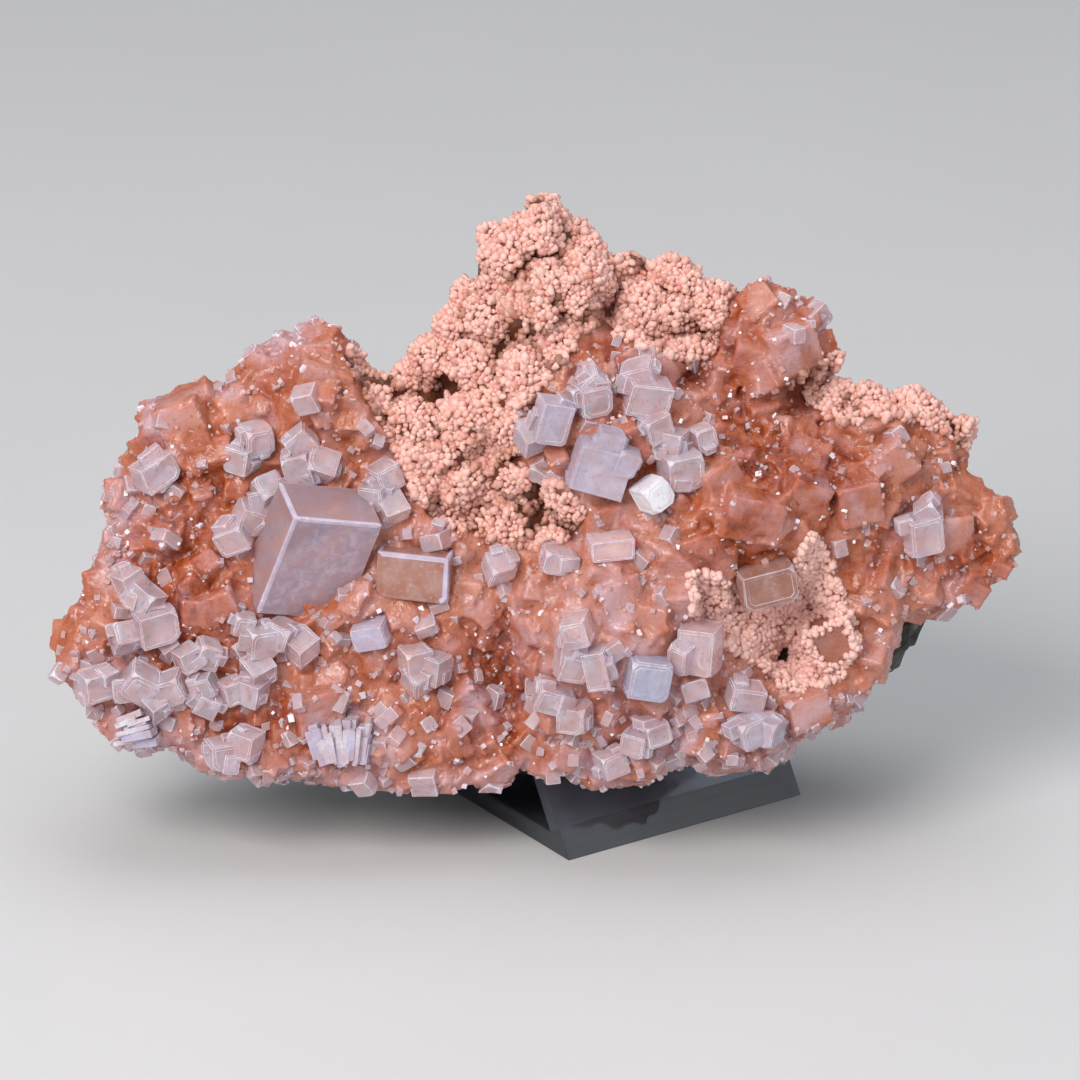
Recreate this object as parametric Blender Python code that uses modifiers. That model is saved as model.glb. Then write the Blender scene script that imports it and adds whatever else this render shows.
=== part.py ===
"""A peach apophyllite specimen: crystals on a basalt rock, leaning back on a clear acrylic stand.

The stone is described in the frame of its own face: a runs to the right, b runs up the
face and c points out of it, in millimetres. The face leans back over the stand. The world
origin is the middle of the foot of the stand, on the floor.
"""

import math
import random

import bmesh
import bpy
from mathutils import Euler, Matrix, Vector, noise

# ---------------------------------------------------------------- driving dimensions
MM = 0.001
LEAN = math.radians(22.0)
FACE_MIDDLE = Vector((-11.55, -13.15, 47.6)) * MM
CLEARANCE = 0.3
RIM_HEIGHT = 8.0
CRUST_RELIEF = 11.0
ROCK_BACK = 31.0
ROCK_INSET = 0.955
WELD = 0.002
CELL = 1.1
PRISM_REACH = 35.0

FOOT_SIDE = 50.0
STAND_TURN = math.radians(34.3)
SHEET = 3.0
BASE_SHEET = 3.5
FLANGE_LEAN = math.radians(32.0)
FLANGE_HEIGHT = 12.8
FLANGE_EASE = 0.5

LARGE_CORNER = (-41.6, 7.1, 27.0)
LARGE_EDGES = ((14.6, -1.2), (-6.9, -16.2), (-3.0, 6.2))

# Edge of the crystal crust round the face, clockwise from the top.
OUTLINE = (
    (0.2, 64.5), (2.4, 63.0), (4.7, 60.0), (7.4, 58.0), (10.2, 55.7), (11.6, 53.8),
    (16.7, 53.6), (22.9, 53.4), (24.8, 50.8), (28.0, 50.3), (30.5, 47.8), (34.1, 46.0),
    (37.8, 46.0), (41.4, 46.9), (43.6, 45.3), (47.6, 42.1), (49.5, 39.1), (49.3, 35.7),
    (46.9, 32.4), (47.6, 30.6), (52.8, 30.5), (58.8, 29.8), (62.2, 28.6), (64.5, 29.7),
    (69.8, 27.2), (74.3, 24.8), (75.3, 23.4), (74.1, 20.7), (74.0, 15.5), (76.2, 12.8),
    (80.2, 7.9), (82.1, 1.9), (81.2, -1.0), (76.4, -5.5), (71.2, -8.6), (66.4, -8.3),
    (63.8, -10.3), (61.9, -13.8), (59.5, -16.6), (57.8, -19.3), (57.2, -22.8),
    (55.2, -25.3), (51.4, -26.7), (46.9, -29.7), (42.1, -32.4), (37.8, -35.0),
    (33.6, -36.4), (29.7, -36.6), (26.4, -35.5), (21.9, -36.2), (16.2, -38.1),
    (11.4, -39.3), (5.5, -38.1), (0.9, -36.2), (-2.8, -34.6), (-5.7, -37.8),
    (-10.5, -38.4), (-16.4, -39.5), (-24.8, -40.0), (-32.4, -39.1), (-38.8, -38.4),
    (-50.0, -38.3), (-53.8, -37.2), (-59.0, -35.2), (-60.9, -33.1), (-67.2, -32.9),
    (-72.8, -30.5), (-76.6, -25.7), (-81.0, -21.0), (-82.1, -16.4), (-83.3, -13.8),
    (-81.0, -9.0), (-77.2, -2.6), (-75.3, 4.1), (-74.1, 10.9), (-71.0, 17.6),
    (-69.3, 22.2), (-66.9, 27.4), (-61.7, 29.7), (-55.0, 29.8), (-52.2, 32.8),
    (-49.7, 33.0), (-45.7, 37.8), (-42.8, 37.9), (-40.7, 40.5), (-39.0, 40.2),
    (-38.2, 38.3), (-36.0, 38.3), (-32.8, 35.7), (-30.9, 32.9), (-27.2, 32.4),
    (-24.8, 31.8), (-22.8, 34.7), (-19.8, 37.9), (-17.2, 41.7), (-14.7, 45.2),
    (-13.6, 48.2), (-11.8, 50.0), (-11.2, 53.6), (-10.0, 57.2), (-7.4, 57.8),
    (-5.2, 57.4), (-3.4, 60.0), (-1.9, 62.8),
)

# Where the bare rock stands out beyond the crust, low on the right.
ROCK_LEDGE = (
    (69.5, -3.0), (68.0, -6.7), (66.9, -11.6), (65.3, -14.5), (63.8, -17.9),
    (60.7, -20.9), (58.1, -22.0), (52.0, -23.0),
)

# Rises and hollows of the crust: middle a, b, half widths and height.
RELIEF = (
    (-53.4, -6.9, 25.0, 22.0, 4.0),
    (-37.1, 29.0, 11.0, 10.0, 6.0),
    (-61.2, 22.4, 9.0, 8.0, 4.0),
    (-23.3, -3.4, 11.0, 12.0, 3.0),
    (-70.7, -22.4, 12.0, 10.0, 2.0),
    (-36.2, -33.0, 26.0, 7.0, 3.0),
    (-1.7, 44.0, 12.0, 20.0, 7.0),
    (-17.2, 22.4, 13.0, 15.0, 2.0),
    (12.1, 22.4, 17.0, 14.0, 10.0),
    (12.1, -10.3, 19.0, 17.0, 12.0),
    (36.2, 7.5, 15.0, 11.0, 11.0),
    (42.2, -13.5, 9.0, 8.0, -6.0),
    (58.6, 12.1, 15.0, 12.0, 4.0),
    (76.0, 4.0, 14.0, 16.0, -4.0),
    (42.2, 37.1, 8.0, 8.0, 5.0),
    (34.5, -30.2, 16.0, 8.0, 5.0),
    (-6.0, -19.0, 5.0, 14.0, -6.0),
)

# Small dark pits of the crust, in the same terms.
PITS = (
    (12.4, 43.0, 2.6, 2.6, -8.0),
    (45.3, 28.6, 3.2, 2.6, -6.0),
    (26.2, 32.2, 2.4, 2.4, -5.0),
    (-12.1, 9.0, 2.4, 2.4, -4.0),
    (-14.7, 30.2, 2.4, 2.4, -4.0),
    (-8.6, 19.8, 2.0, 2.0, -3.5),
    (3.8, 36.7, 2.2, 2.2, -4.0),
    (42.8, -16.7, 3.4, 3.2, -6.0),
)

# Areas of pink grained crust, each a ring of corners on the face.
PINK_AREAS = {
    "pink_crust_peak": (
        (-33.4, 36.0), (-29.6, 27.4), (-26.2, 22.4), (-23.8, 16.9), (-20.7, 10.3),
        (-17.2, 6.6), (-11.2, 4.8), (-6.0, 2.1), (0.9, 2.4), (5.5, 4.1), (7.6, 8.3),
        (3.5, 12.4), (-2.7, 15.9), (-4.6, 20.7), (-3.4, 26.5), (0.9, 30.0), (4.0, 34.1),
        (6.6, 38.4), (9.4, 40.6), (12.4, 44.6), (11.6, 54.0), (11.4, 72.0), (-6.0, 76.0),
        (-22.0, 62.0), (-27.0, 44.0), (-30.6, 38.0),
    ),
    "pink_crust_upper_right": (
        (9.4, 40.6), (12.4, 44.6), (11.6, 54.0), (11.4, 60.0), (27.6, 60.0), (34.5, 51.0),
        (31.8, 44.8), (31.0, 39.7), (29.7, 35.9), (25.9, 34.1), (19.8, 35.9), (14.0, 38.2),
    ),
    "pink_crust_right_rim": (
        (46.9, 27.4), (44.6, 31.4), (53.4, 37.0), (72.4, 35.0), (84.0, 25.0), (77.6, 17.2),
        (73.4, 19.7), (69.3, 22.4), (64.8, 24.0), (59.3, 24.6), (54.2, 23.4), (50.7, 24.0),
    ),
    "pink_crust_pocket": (
        (25.5, -2.1), (30.3, -2.4), (34.8, -5.4), (39.7, -7.2), (43.4, -5.5), (44.1, 0.0),
        (46.4, 4.5), (49.3, 0.7), (52.8, -6.9), (54.5, -13.8), (52.1, -20.0), (46.9, -22.4),
        (42.4, -22.4), (39.3, -18.9), (35.2, -16.5), (30.3, -13.1), (26.2, -9.0),
    ),
}

# Loose-standing clear and milky crystals. Each box: middle a, b, height of its middle over
# the crust, three sides, then its turn in the face, tip and roll in degrees.
CRYSTALS = {
    "embedded_slab_crystal": (
        (-21.4, -2.1, -1.0, 12.6, 8.0, 7.0, -6, 18, 10),
    ),
    "crystals_left_of_large": (
        (-52.6, 4.1, -0.2, 5.4, 4.4, 5.0, 20, 28, -22),
        (-49.8, 7.5, 0.0, 4.8, 4.6, 5.0, -15, 28, 24),
        (-46.6, 11.8, 0.4, 4.8, 4.6, 5.0, 24, -26, 22),
        (-48.4, 9.8, -0.8, 4.0, 4.4, 5.0, 10, 10, 8),
    ),
    "fan_crystals_over_large": (
        (-41.4, 15.9, 0.8, 4.8, 5.4, 5.2, 14, 20, -12),
        (-37.8, 16.4, 0.6, 5.2, 4.8, 5.2, -20, -22, 14),
        (-41.0, 20.6, 0.2, 4.4, 4.6, 4.8, 38, 25, -18),
    ),
    "crystal_pair_upper_left": (
        (-48.8, 20.8, 0.2, 4.8, 4.8, 5.0, 12, 28, 20),
        (-51.2, 17.6, 0.2, 4.4, 4.6, 5.0, -18, 26, -22),
    ),
    "crystals_right_of_large": (
        (-26.6, 14.5, 0.2, 4.4, 4.4, 5.0, 30, 28, 18),
        (-28.2, 11.2, 0.2, 4.4, 4.2, 5.0, -8, 26, -22),
        (-25.4, 8.6, 0.0, 4.6, 4.4, 5.0, 22, -24, 20),
    ),
    "slab_crystal_left_shoulder": (
        (-66.2, 15.3, 0.3, 6.8, 4.8, 5.0, 35, 28, 20),
    ),
    "crystal_chain_left": (
        (-70.6, -3.6, 0.2, 4.4, 4.0, 5.0, 34, 28, 22),
        (-67.8, -6.8, 0.4, 4.8, 4.4, 5.0, -40, 24, -20),
        (-66.0, -11.2, 0.4, 6.8, 5.8, 5.4, 15, 26, 18),
        (-71.4, -13.4, 0.2, 4.2, 4.2, 5.0, 10, -24, 20),
    ),
    "crystals_below_large": (
        (-48.1, -13.6, 0.5, 5.0, 5.0, 5.4, 8, 30, 22),
        (-44.4, -12.8, 0.2, 4.6, 4.4, 5.0, -25, 26, -18),
        (-41.0, -14.8, 0.2, 4.8, 4.6, 5.0, 38, -26, 22),
        (-51.0, -10.8, 0.0, 3.4, 3.6, 4.6, -12, 22, 16),
    ),
    "crystal_row_lower_left": (
        (-76.0, -21.2, 0.0, 5.8, 4.8, 5.0, 16, 28, 22),
        (-71.6, -22.0, -0.6, 4.0, 4.2, 5.0, 8, 14, 10),
        (-68.6, -21.0, 0.4, 5.6, 5.4, 5.4, -28, 30, 20),
        (-63.6, -22.0, 0.3, 5.6, 4.8, 5.0, 18, 26, -22),
        (-66.0, -25.0, 0.0, 4.2, 4.2, 4.6, 35, -24, 20),
    ),
    "crystals_left_slope": (
        (-60.4, -16.8, 0.2, 4.2, 3.8, 4.6, 30, 28, 18),
        (-57.2, -16.0, 0.2, 3.8, 4.4, 4.6, -12, 26, 22),
    ),
    "bright_crystals_lower_left": (
        (-57.6, -21.4, 0.4, 3.9, 3.9, 4.6, 18, 24, -20),
        (-57.2, -24.4, 0.4, 4.0, 3.7, 4.6, -24, 28, 16),
    ),
    "crystals_lower_slope": (
        (-53.0, -22.4, 0.0, 3.8, 3.8, 4.6, 22, 26, 20),
        (-49.6, -22.4, 0.2, 4.8, 4.2, 4.8, -20, 28, -20),
        (-48.4, -18.8, 0.3, 4.8, 4.6, 5.0, 30, -26, 18),
    ),
    "white_blade_crystals": (
        (-70.6, -29.2, 0.0, 6.0, 2.2, 5.0, 60, 18, 10),
        (-68.8, -30.0, 0.0, 6.4, 2.2, 5.0, 100, 18, -12),
        (-69.6, -28.6, 0.0, 6.0, 2.6, 5.0, 22, -20, 12),
        (-69.4, -30.4, -0.3, 5.2, 3.0, 5.0, 5, 20, -8),
    ),
    "crystals_at_left_foot": (
        (-54.8, -33.2, -0.4, 4.8, 4.6, 5.0, 10, 26, 20),
        (-50.6, -31.4, 0.0, 4.8, 4.6, 5.0, -20, 28, -20),
    ),
    "white_fan_crystal": (
        (-36.4, -31.6, -0.2, 2.3, 7.0, 6.0, 30, 14, 6),
        (-33.8, -30.8, 0.0, 2.6, 7.4, 6.0, 4, 16, -6),
        (-31.4, -31.6, -0.2, 2.3, 7.0, 6.0, -24, 14, 6),
        (-33.9, -33.2, 0.0, 6.4, 4.6, 5.6, 8, 22, 16),
    ),
    "crystal_cluster_by_groove": (
        (-21.6, -17.0, 0.6, 4.8, 4.6, 5.4, 14, 30, 22),
        (-18.2, -18.4, 0.6, 4.6, 4.8, 5.4, -22, 28, -24),
        (-20.8, -20.4, 0.2, 4.6, 4.4, 5.2, 30, -26, 20),
    ),
    "milky_crystal_left_centre": (
        (-29.0, -12.6, 0.4, 5.8, 4.2, 5.0, 10, 24, -18),
    ),
    "crystals_beside_peak": (
        (2.0, 24.0, 1.2, 5.4, 7.2, 5.6, -8, 22, 18),
        (-1.4, 21.0, 0.8, 4.6, 4.4, 5.2, 24, -24, 18),
    ),
    "crystal_pair_ridge_left": (
        (9.0, 27.6, 0.6, 5.4, 5.0, 5.4, 12, 26, 20),
        (9.2, 30.4, 1.4, 4.0, 3.8, 4.4, 40, 26, -16),
    ),
    "crystal_pair_ridge_top": (
        (18.2, 28.0, 0.8, 7.4, 5.8, 6.0, -8, 24, 16),
        (17.0, 31.8, 2.0, 5.4, 4.4, 5.2, 14, 28, -16),
    ),
    "crystals_ridge_right": (
        (19.7, 22.8, 1.0, 4.6, 4.4, 5.0, 26, 28, 18),
        (22.4, 20.2, 0.8, 4.8, 4.2, 5.0, -14, 22, -18),
        (24.0, 15.6, 0.8, 6.4, 5.8, 5.8, 12, 26, 20),
        (22.8, 18.2, -0.2, 4.2, 4.6, 5.2, 8, 12, 8),
    ),
    "small_crystal_ridge_end": (
        (27.8, 21.0, 0.2, 3.8, 3.7, 4.2, 22, 26, 20),
    ),
    "stepped_slab_crystal": (
        (10.2, 15.9, 1.0, 9.4, 8.2, 6.2, -14, 20, 12),
        (11.8, 20.0, 1.6, 4.4, 4.4, 5.0, -14, 20, 12),
        (14.6, 16.8, 2.0, 3.8, 4.4, 4.8, -20, 22, 14),
    ),
    "white_rhomb_crystal": (
        (19.2, 11.2, 2.2, 4.9, 4.7, 6.0, 38, 24, 18),
    ),
    "long_crystal_centre": (
        (12.1, 2.4, 0.8, 7.4, 3.6, 5.0, 6, 24, 10),
    ),
    "crystal_centre": (
        (2.8, 0.2, 0.3, 5.0, 4.0, 4.8, -8, 26, 14),
    ),
    "crystal_below_peak": (
        (-7.0, -1.2, 0.6, 4.7, 4.4, 5.0, 14, -24, 20),
    ),
    "prism_crystals_lower_centre": (
        (6.4, -11.8, 1.0, 4.4, 4.8, 5.6, 10, 24, -18),
        (5.4, -15.4, 0.2, 4.4, 4.2, 5.4, -4, 16, 10),
        (5.4, -17.8, 0.8, 4.9, 4.6, 5.4, -10, 26, 20),
        (9.8, -18.4, 1.2, 3.9, 6.8, 5.4, 8, 18, -12),
    ),
    "pale_blue_crystal": (
        (18.3, -19.9, 1.4, 7.0, 6.4, 6.6, -8, 18, 12),
    ),
    "clear_crystal_over_pocket": (
        (27.4, -15.0, 1.0, 6.4, 8.2, 6.4, -10, 22, -16),
    ),
    "crystal_pair_low_centre": (
        (2.2, -23.4, 0.8, 6.2, 4.4, 5.4, -16, 28, 16),
        (6.0, -26.8, 0.6, 5.0, 4.8, 5.4, -8, 26, -18),
    ),
    "crystals_above_foot": (
        (19.6, -29.4, 0.6, 4.4, 3.9, 4.8, 20, 26, 18),
        (16.6, -31.2, 0.4, 4.4, 4.0, 4.8, -18, 26, -16),
    ),
    "crystal_at_foot": (
        (12.2, -34.8, -0.4, 4.6, 4.2, 4.8, 22, 24, 18),
    ),
    "slab_crystal_under_tongue": (
        (38.8, -4.0, 3.4, 9.2, 6.0, 5.8, 14, 24, 10),
    ),
    "crystal_below_pocket": (
        (35.3, -23.2, 1.0, 5.8, 4.2, 5.2, -6, 24, 16),
    ),
    "whitish_cluster_lower_right": (
        (35.8, -29.2, 0.6, 4.9, 4.7, 5.4, 24, 26, 18),
        (38.9, -29.0, 0.6, 4.9, 4.6, 5.4, -20, 26, -22),
    ),
    "peach_crystal_beside_pocket": (
        (50.8, -13.2, 1.2, 7.8, 7.4, 6.8, 24, 22, -16),
    ),
    "crystals_right_lobe": (
        (65.6, 4.6, 0.4, 6.0, 6.4, 6.0, 14, 24, 18),
        (66.8, 8.6, 0.0, 3.8, 3.8, 5.0, 30, 26, -18),
    ),
}

# Larger blocks of the peach crust that are worth their own shape, in the same terms.
PEACH_BLOCKS = (
    (42.6, 36.6, -1.0, 8.4, 7.8, 8.6, 25, 24, 20),
    (-38.8, -25.4, -0.5, 8.5, 7.6, 8.0, 16, 24, 18),
    (36.0, 8.0, -0.5, 10.0, 8.0, 8.0, -12, 22, 16),
    (28.4, 2.6, -0.5, 7.6, 7.0, 7.6, 18, 26, -18),
    (30.4, 13.4, -0.5, 7.0, 6.6, 7.0, 34, 24, 20),
    (45.4, 11.6, -0.5, 7.4, 6.6, 7.0, -20, 24, 18),
    (-61.4, 24.6, -0.8, 8.2, 7.4, 7.6, 18, 20, -16),
    (-37.6, 30.6, -0.8, 9.0, 7.4, 8.0, -14, 22, 16),
    (-33.0, 26.6, -0.8, 6.6, 6.0, 7.0, 28, 22, -20),
    (54.0, 10.0, -0.8, 8.0, 7.0, 7.0, 14, 20, 18),
    (60.8, 17.4, -0.8, 7.4, 6.6, 7.0, 36, 22, -16),
    (70.6, 5.0, -0.8, 7.4, 6.6, 6.6, 8, 20, 18),
    (13.0, -6.4, -0.4, 8.0, 7.6, 7.6, 28, 24, 18),
    (19.4, -9.8, -0.4, 7.0, 6.6, 7.0, -12, 24, -18),
    (45.6, -25.6, -0.6, 7.4, 6.0, 6.6, 20, 20, 16),
)

# Smaller blocks fill the rest of the peach crust.
FILL_BLOCKS = 9
FILL_SIZE = (3.8, 6.2)
FILL_SPACING = 10.0
FILL_SEED = 41

TRIANGLES = {
    "rock": 800,
    "peach": 1800,
    "pink": 4300,
}


# ---------------------------------------------------------------- frame of the face
def face_to_world():
    """Matrix from the face of the stone to the world."""
    tilt = Matrix((
        (1.0, 0.0, 0.0, 0.0),
        (0.0, math.sin(LEAN), -math.cos(LEAN), 0.0),
        (0.0, math.cos(LEAN), math.sin(LEAN), 0.0),
        (0.0, 0.0, 0.0, 1.0),
    ))
    return Matrix.Translation(FACE_MIDDLE) @ tilt @ Matrix.Scale(MM, 4)


def reach(angle, ring):
    """Distance from the middle of the face to a ring of corners along a direction."""
    ray = Vector((math.cos(angle), math.sin(angle)))
    best = 0.0
    for index, corner in enumerate(ring):
        start = Vector(corner)
        side = Vector(ring[(index + 1) % len(ring)]) - start
        across = ray.x * side.y - ray.y * side.x
        if abs(across) < 1e-9:
            continue
        along = (start.x * side.y - start.y * side.x) / across
        share = (start.x * ray.y - start.y * ray.x) / across
        if along > 0.0 and -1e-6 <= share <= 1.0 + 1e-6:
            best = max(best, along)
    return best


def hills(a, b, table):
    """Height of a table of rounded rises and hollows at a point of the face."""
    total = 0.0
    for middle_a, middle_b, half_a, half_b, rise in table:
        square = ((a - middle_a) / half_a) ** 2 + ((b - middle_b) / half_b) ** 2
        total += rise * math.exp(-square)
    return total


def crust_height(a, b):
    """Smooth height of the crust over the rock."""
    return CRUST_RELIEF + hills(a, b, RELIEF)


def inside(a, b, ring):
    """Whether a point of the face lies in a ring of corners."""
    crossings = 0
    for index, (a0, b0) in enumerate(ring):
        a1, b1 = ring[(index + 1) % len(ring)]
        if (b0 > b) != (b1 > b) and a < a0 + (b - b0) * (a1 - a0) / (b1 - b0):
            crossings += 1
    return crossings % 2 == 1


def offset_ring(ring, distance):
    """Ring of corners moved outward by a distance, inward where it is negative."""
    area = sum(p[0] * q[1] - q[0] * p[1] for p, q in zip(ring, ring[1:] + ring[:1]))
    sign = 1.0 if area > 0.0 else -1.0
    moved = []
    for index, corner in enumerate(ring):
        here = Vector(corner)
        before = (here - Vector(ring[index - 1])).normalized()
        after = (Vector(ring[(index + 1) % len(ring)]) - here).normalized()
        out_before = Vector((before.y, -before.x)) * sign
        out_after = Vector((after.y, -after.x)) * sign
        middle = out_before + out_after
        middle = middle / max(0.6, 1.0 + out_before.dot(out_after))
        moved.append(tuple(here + middle * distance))
    return tuple(moved)


# ---------------------------------------------------------------- mesh helpers
def new_object(name, bm, collection):
    """Object made from a bmesh, linked to a collection."""
    mesh = bpy.data.meshes.new(name)
    bm.to_mesh(mesh)
    bm.free()
    made = bpy.data.objects.new(name, mesh)
    collection.objects.link(made)
    return made


def apply_modifiers(target):
    """Replace the mesh of an object by its evaluated mesh."""
    graph = bpy.context.evaluated_depsgraph_get()
    evaluated = bpy.data.meshes.new_from_object(target.evaluated_get(graph))
    target.modifiers.clear()
    target.data = evaluated


def combine(target, tool, operation):
    """Exact Boolean of two objects, kept in the first."""
    step = target.modifiers.new(operation.lower(), "BOOLEAN")
    step.operation = operation
    step.solver = "EXACT"
    step.use_self = True
    step.object = tool
    apply_modifiers(target)


def thin_out(target, triangles):
    """Bring an object down to about a number of triangles."""
    count = sum(len(face.vertices) - 2 for face in target.data.polygons)
    if count > triangles:
        step = target.modifiers.new("decimate", "DECIMATE")
        step.ratio = triangles / count
        apply_modifiers(target)


def merge_flat(target, degrees):
    """Join faces that lie in one plane, or within a few degrees of it."""
    step = target.modifiers.new("flat", "DECIMATE")
    step.decimate_type = "DISSOLVE"
    step.angle_limit = math.radians(degrees)
    apply_modifiers(target)


def cut_plane(target, point, normal):
    """Remove what lies on the side of a plane its normal points to, and close the cut."""
    bm = bmesh.new()
    bm.from_mesh(target.data)
    parts = bm.verts[:] + bm.edges[:] + bm.faces[:]
    bmesh.ops.bisect_plane(bm, geom=parts, dist=1e-7, plane_co=point, plane_no=normal,
                           clear_outer=True)
    rim = [edge for edge in bm.edges if edge.is_boundary]
    if rim:
        bmesh.ops.holes_fill(bm, edges=rim, sides=0)
    bmesh.ops.triangulate(bm, faces=bm.faces[:])
    bm.to_mesh(target.data)
    bm.free()


def keep_largest(target):
    """Keep the largest connected body of an object, weld it and triangulate it."""
    bm = bmesh.new()
    bm.from_mesh(target.data)
    bmesh.ops.remove_doubles(bm, verts=bm.verts[:], dist=WELD)
    bmesh.ops.dissolve_degenerate(bm, edges=bm.edges[:], dist=WELD)
    bodies = []
    seen = set()
    for start in bm.verts:
        if start in seen:
            continue
        body = []
        waiting = [start]
        seen.add(start)
        while waiting:
            vertex = waiting.pop()
            body.append(vertex)
            for edge in vertex.link_edges:
                other = edge.other_vert(vertex)
                if other not in seen:
                    seen.add(other)
                    waiting.append(other)
        bodies.append(body)
    bodies.sort(key=len, reverse=True)
    for body in bodies[1:]:
        bmesh.ops.delete(bm, geom=body, context="VERTS")
    bmesh.ops.triangulate(bm, faces=bm.faces[:])
    bmesh.ops.recalc_face_normals(bm, faces=bm.faces[:])
    bm.to_mesh(target.data)
    bm.free()


def bounds(target):
    """Lowest and highest corner of an object's mesh."""
    points = [vertex.co for vertex in target.data.vertices]
    low = Vector([min(point[axis] for point in points) for axis in range(3)])
    high = Vector([max(point[axis] for point in points) for axis in range(3)])
    return low, high


def meet(first, second):
    """Whether the boxes round two objects overlap."""
    low_a, high_a = bounds(first)
    low_b, high_b = bounds(second)
    return all(low_a[i] < high_b[i] and low_b[i] < high_a[i] for i in range(3))


# ---------------------------------------------------------------- crust, rock and crystals
def clumps(point):
    """Rounded clumps of the pink crust: a broad one and a finer one."""
    broad = noise.voronoi(point / 7.5)[0][0]
    fine = noise.voronoi(point / 3.8)[0][0]
    high = 3.4 * math.sqrt(max(0.0, 1.0 - (broad / 0.75) ** 2))
    return high + 1.3 * math.sqrt(max(0.0, 1.0 - (fine / 0.75) ** 2)) - 3.0


def knobs(point):
    """Low waxy swellings and ledges of the peach crust."""
    ledge = noise.voronoi(point / 9.0)[0]
    step = min(1.0, (ledge[1] - ledge[0]) * 2.4)
    return 1.5 * step + 1.2 * noise.noise(point / 4.5) - 1.0


def even_mesh(target, size):
    """Rebuild the surface of an object from even small cells."""
    step = target.modifiers.new("remesh", "REMESH")
    step.mode = "VOXEL"
    step.voxel_size = size
    apply_modifiers(target)


def crust_shell(name, relief, triangles, collection):
    """Body under the whole face of the crust, flat where it lies on the rock."""
    bm = bmesh.new()
    bmesh.ops.create_icosphere(bm, subdivisions=6, radius=1.0)
    for vertex in bm.verts:
        x, y, z = vertex.co
        angle = math.atan2(y, x)
        flat = math.hypot(x, y)
        edge = reach(angle, OUTLINE)
        if z >= 0.0:
            spread = flat ** 0.55
            lift = z ** 0.55
        else:
            spread = flat ** 0.25
            lift = z
        a = edge * spread * math.cos(angle)
        b = edge * spread * math.sin(angle)
        height = crust_height(a, b)
        rim = min(RIM_HEIGHT, 0.6 * height)
        if z >= 0.0:
            c = rim + (height - rim) * lift
        else:
            c = rim + 22.0 * lift
        vertex.co = Vector((a, b, c))
    shell = new_object(name, bm, collection)
    even_mesh(shell, CELL)
    normals = [vertex.normal.copy() for vertex in shell.data.vertices]
    for vertex, normal in zip(shell.data.vertices, normals):
        a, b, c = vertex.co
        if c > 0.0:
            fade = min(1.0, c / 3.0)
            vertex.co += normal * relief(vertex.co) * fade
            vertex.co.z += hills(a, b, PITS) * max(0.0, normal.z)
    thin_out(shell, triangles)
    cut_plane(shell, Vector((0.0, 0.0, CLEARANCE)), Vector((0.0, 0.0, -1.0)))
    return shell


def rock_body(name, collection):
    """Basalt under the crust: flat in front, wedge shaped, thick at the bottom."""
    bm = bmesh.new()
    bmesh.ops.create_icosphere(bm, subdivisions=5, radius=1.0)
    for vertex in bm.verts:
        x, y, z = vertex.co
        angle = math.atan2(y, x)
        flat = math.hypot(x, y)
        edge = ROCK_INSET * reach(angle, OUTLINE)
        if math.radians(-24.5) < angle < math.radians(-2.5):
            edge = max(edge, reach(angle, ROCK_LEDGE))
        a = edge * flat ** 0.4 * math.cos(angle)
        b = edge * flat ** 0.4 * math.sin(angle)
        side = 0.72 + 0.28 * min(1.0, max(0.0, (a + 75.0) / 90.0))
        depth = side * (ROCK_BACK - b * math.sin(LEAN)) / math.cos(LEAN)
        depth = max(6.0, depth)
        rough = noise.fractal(Vector((a, b, depth * z)) / 22.0, 0.6, 2.2, 4)
        if z >= 0.0:
            c = 4.0 * z
        else:
            c = -depth * abs(z) ** 0.62 * (1.0 + 0.16 * rough)
            pull = 1.0 - 0.05 * abs(z) * (1.0 + 2.0 * rough)
            a *= pull
            b *= pull
        vertex.co = Vector((a, b, c))
    rock = new_object(name, bm, collection)
    thin_out(rock, TRIANGLES["rock"])
    cut_plane(rock, Vector((0.0, 0.0, 0.0)), Vector((0.0, 0.0, 1.0)))
    return rock


def block(collection, name, middle, axes, sides, corner):
    """Box on three axes, its corners cut off where a corner size is given."""
    bm = bmesh.new()
    bmesh.ops.create_cube(bm, size=1.0)
    bmesh.ops.scale(bm, vec=Vector(sides), verts=bm.verts[:])
    if corner > 0.0:
        bmesh.ops.bevel(bm, geom=bm.verts[:], offset=corner, segments=1,
                        affect="VERTICES")
    bmesh.ops.transform(bm, matrix=axes.to_4x4(), verts=bm.verts[:])
    bmesh.ops.translate(bm, vec=Vector(middle), verts=bm.verts[:])
    bmesh.ops.triangulate(bm, faces=bm.faces[:])
    return new_object(name, bm, collection)


def listed_block(collection, name, entry, grow, corner):
    """Box described by one row of a crystal table."""
    a, b, over, side_x, side_y, side_z, turn, tip, roll = entry
    angles = Euler((math.radians(tip), math.radians(roll), math.radians(turn)), "XYZ")
    sides = [side + 2.0 * grow for side in (side_x, side_y, side_z)]
    middle = (a, b, crust_height(a, b) + over)
    return block(collection, name, middle, angles.to_matrix(), sides, corner)


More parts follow.
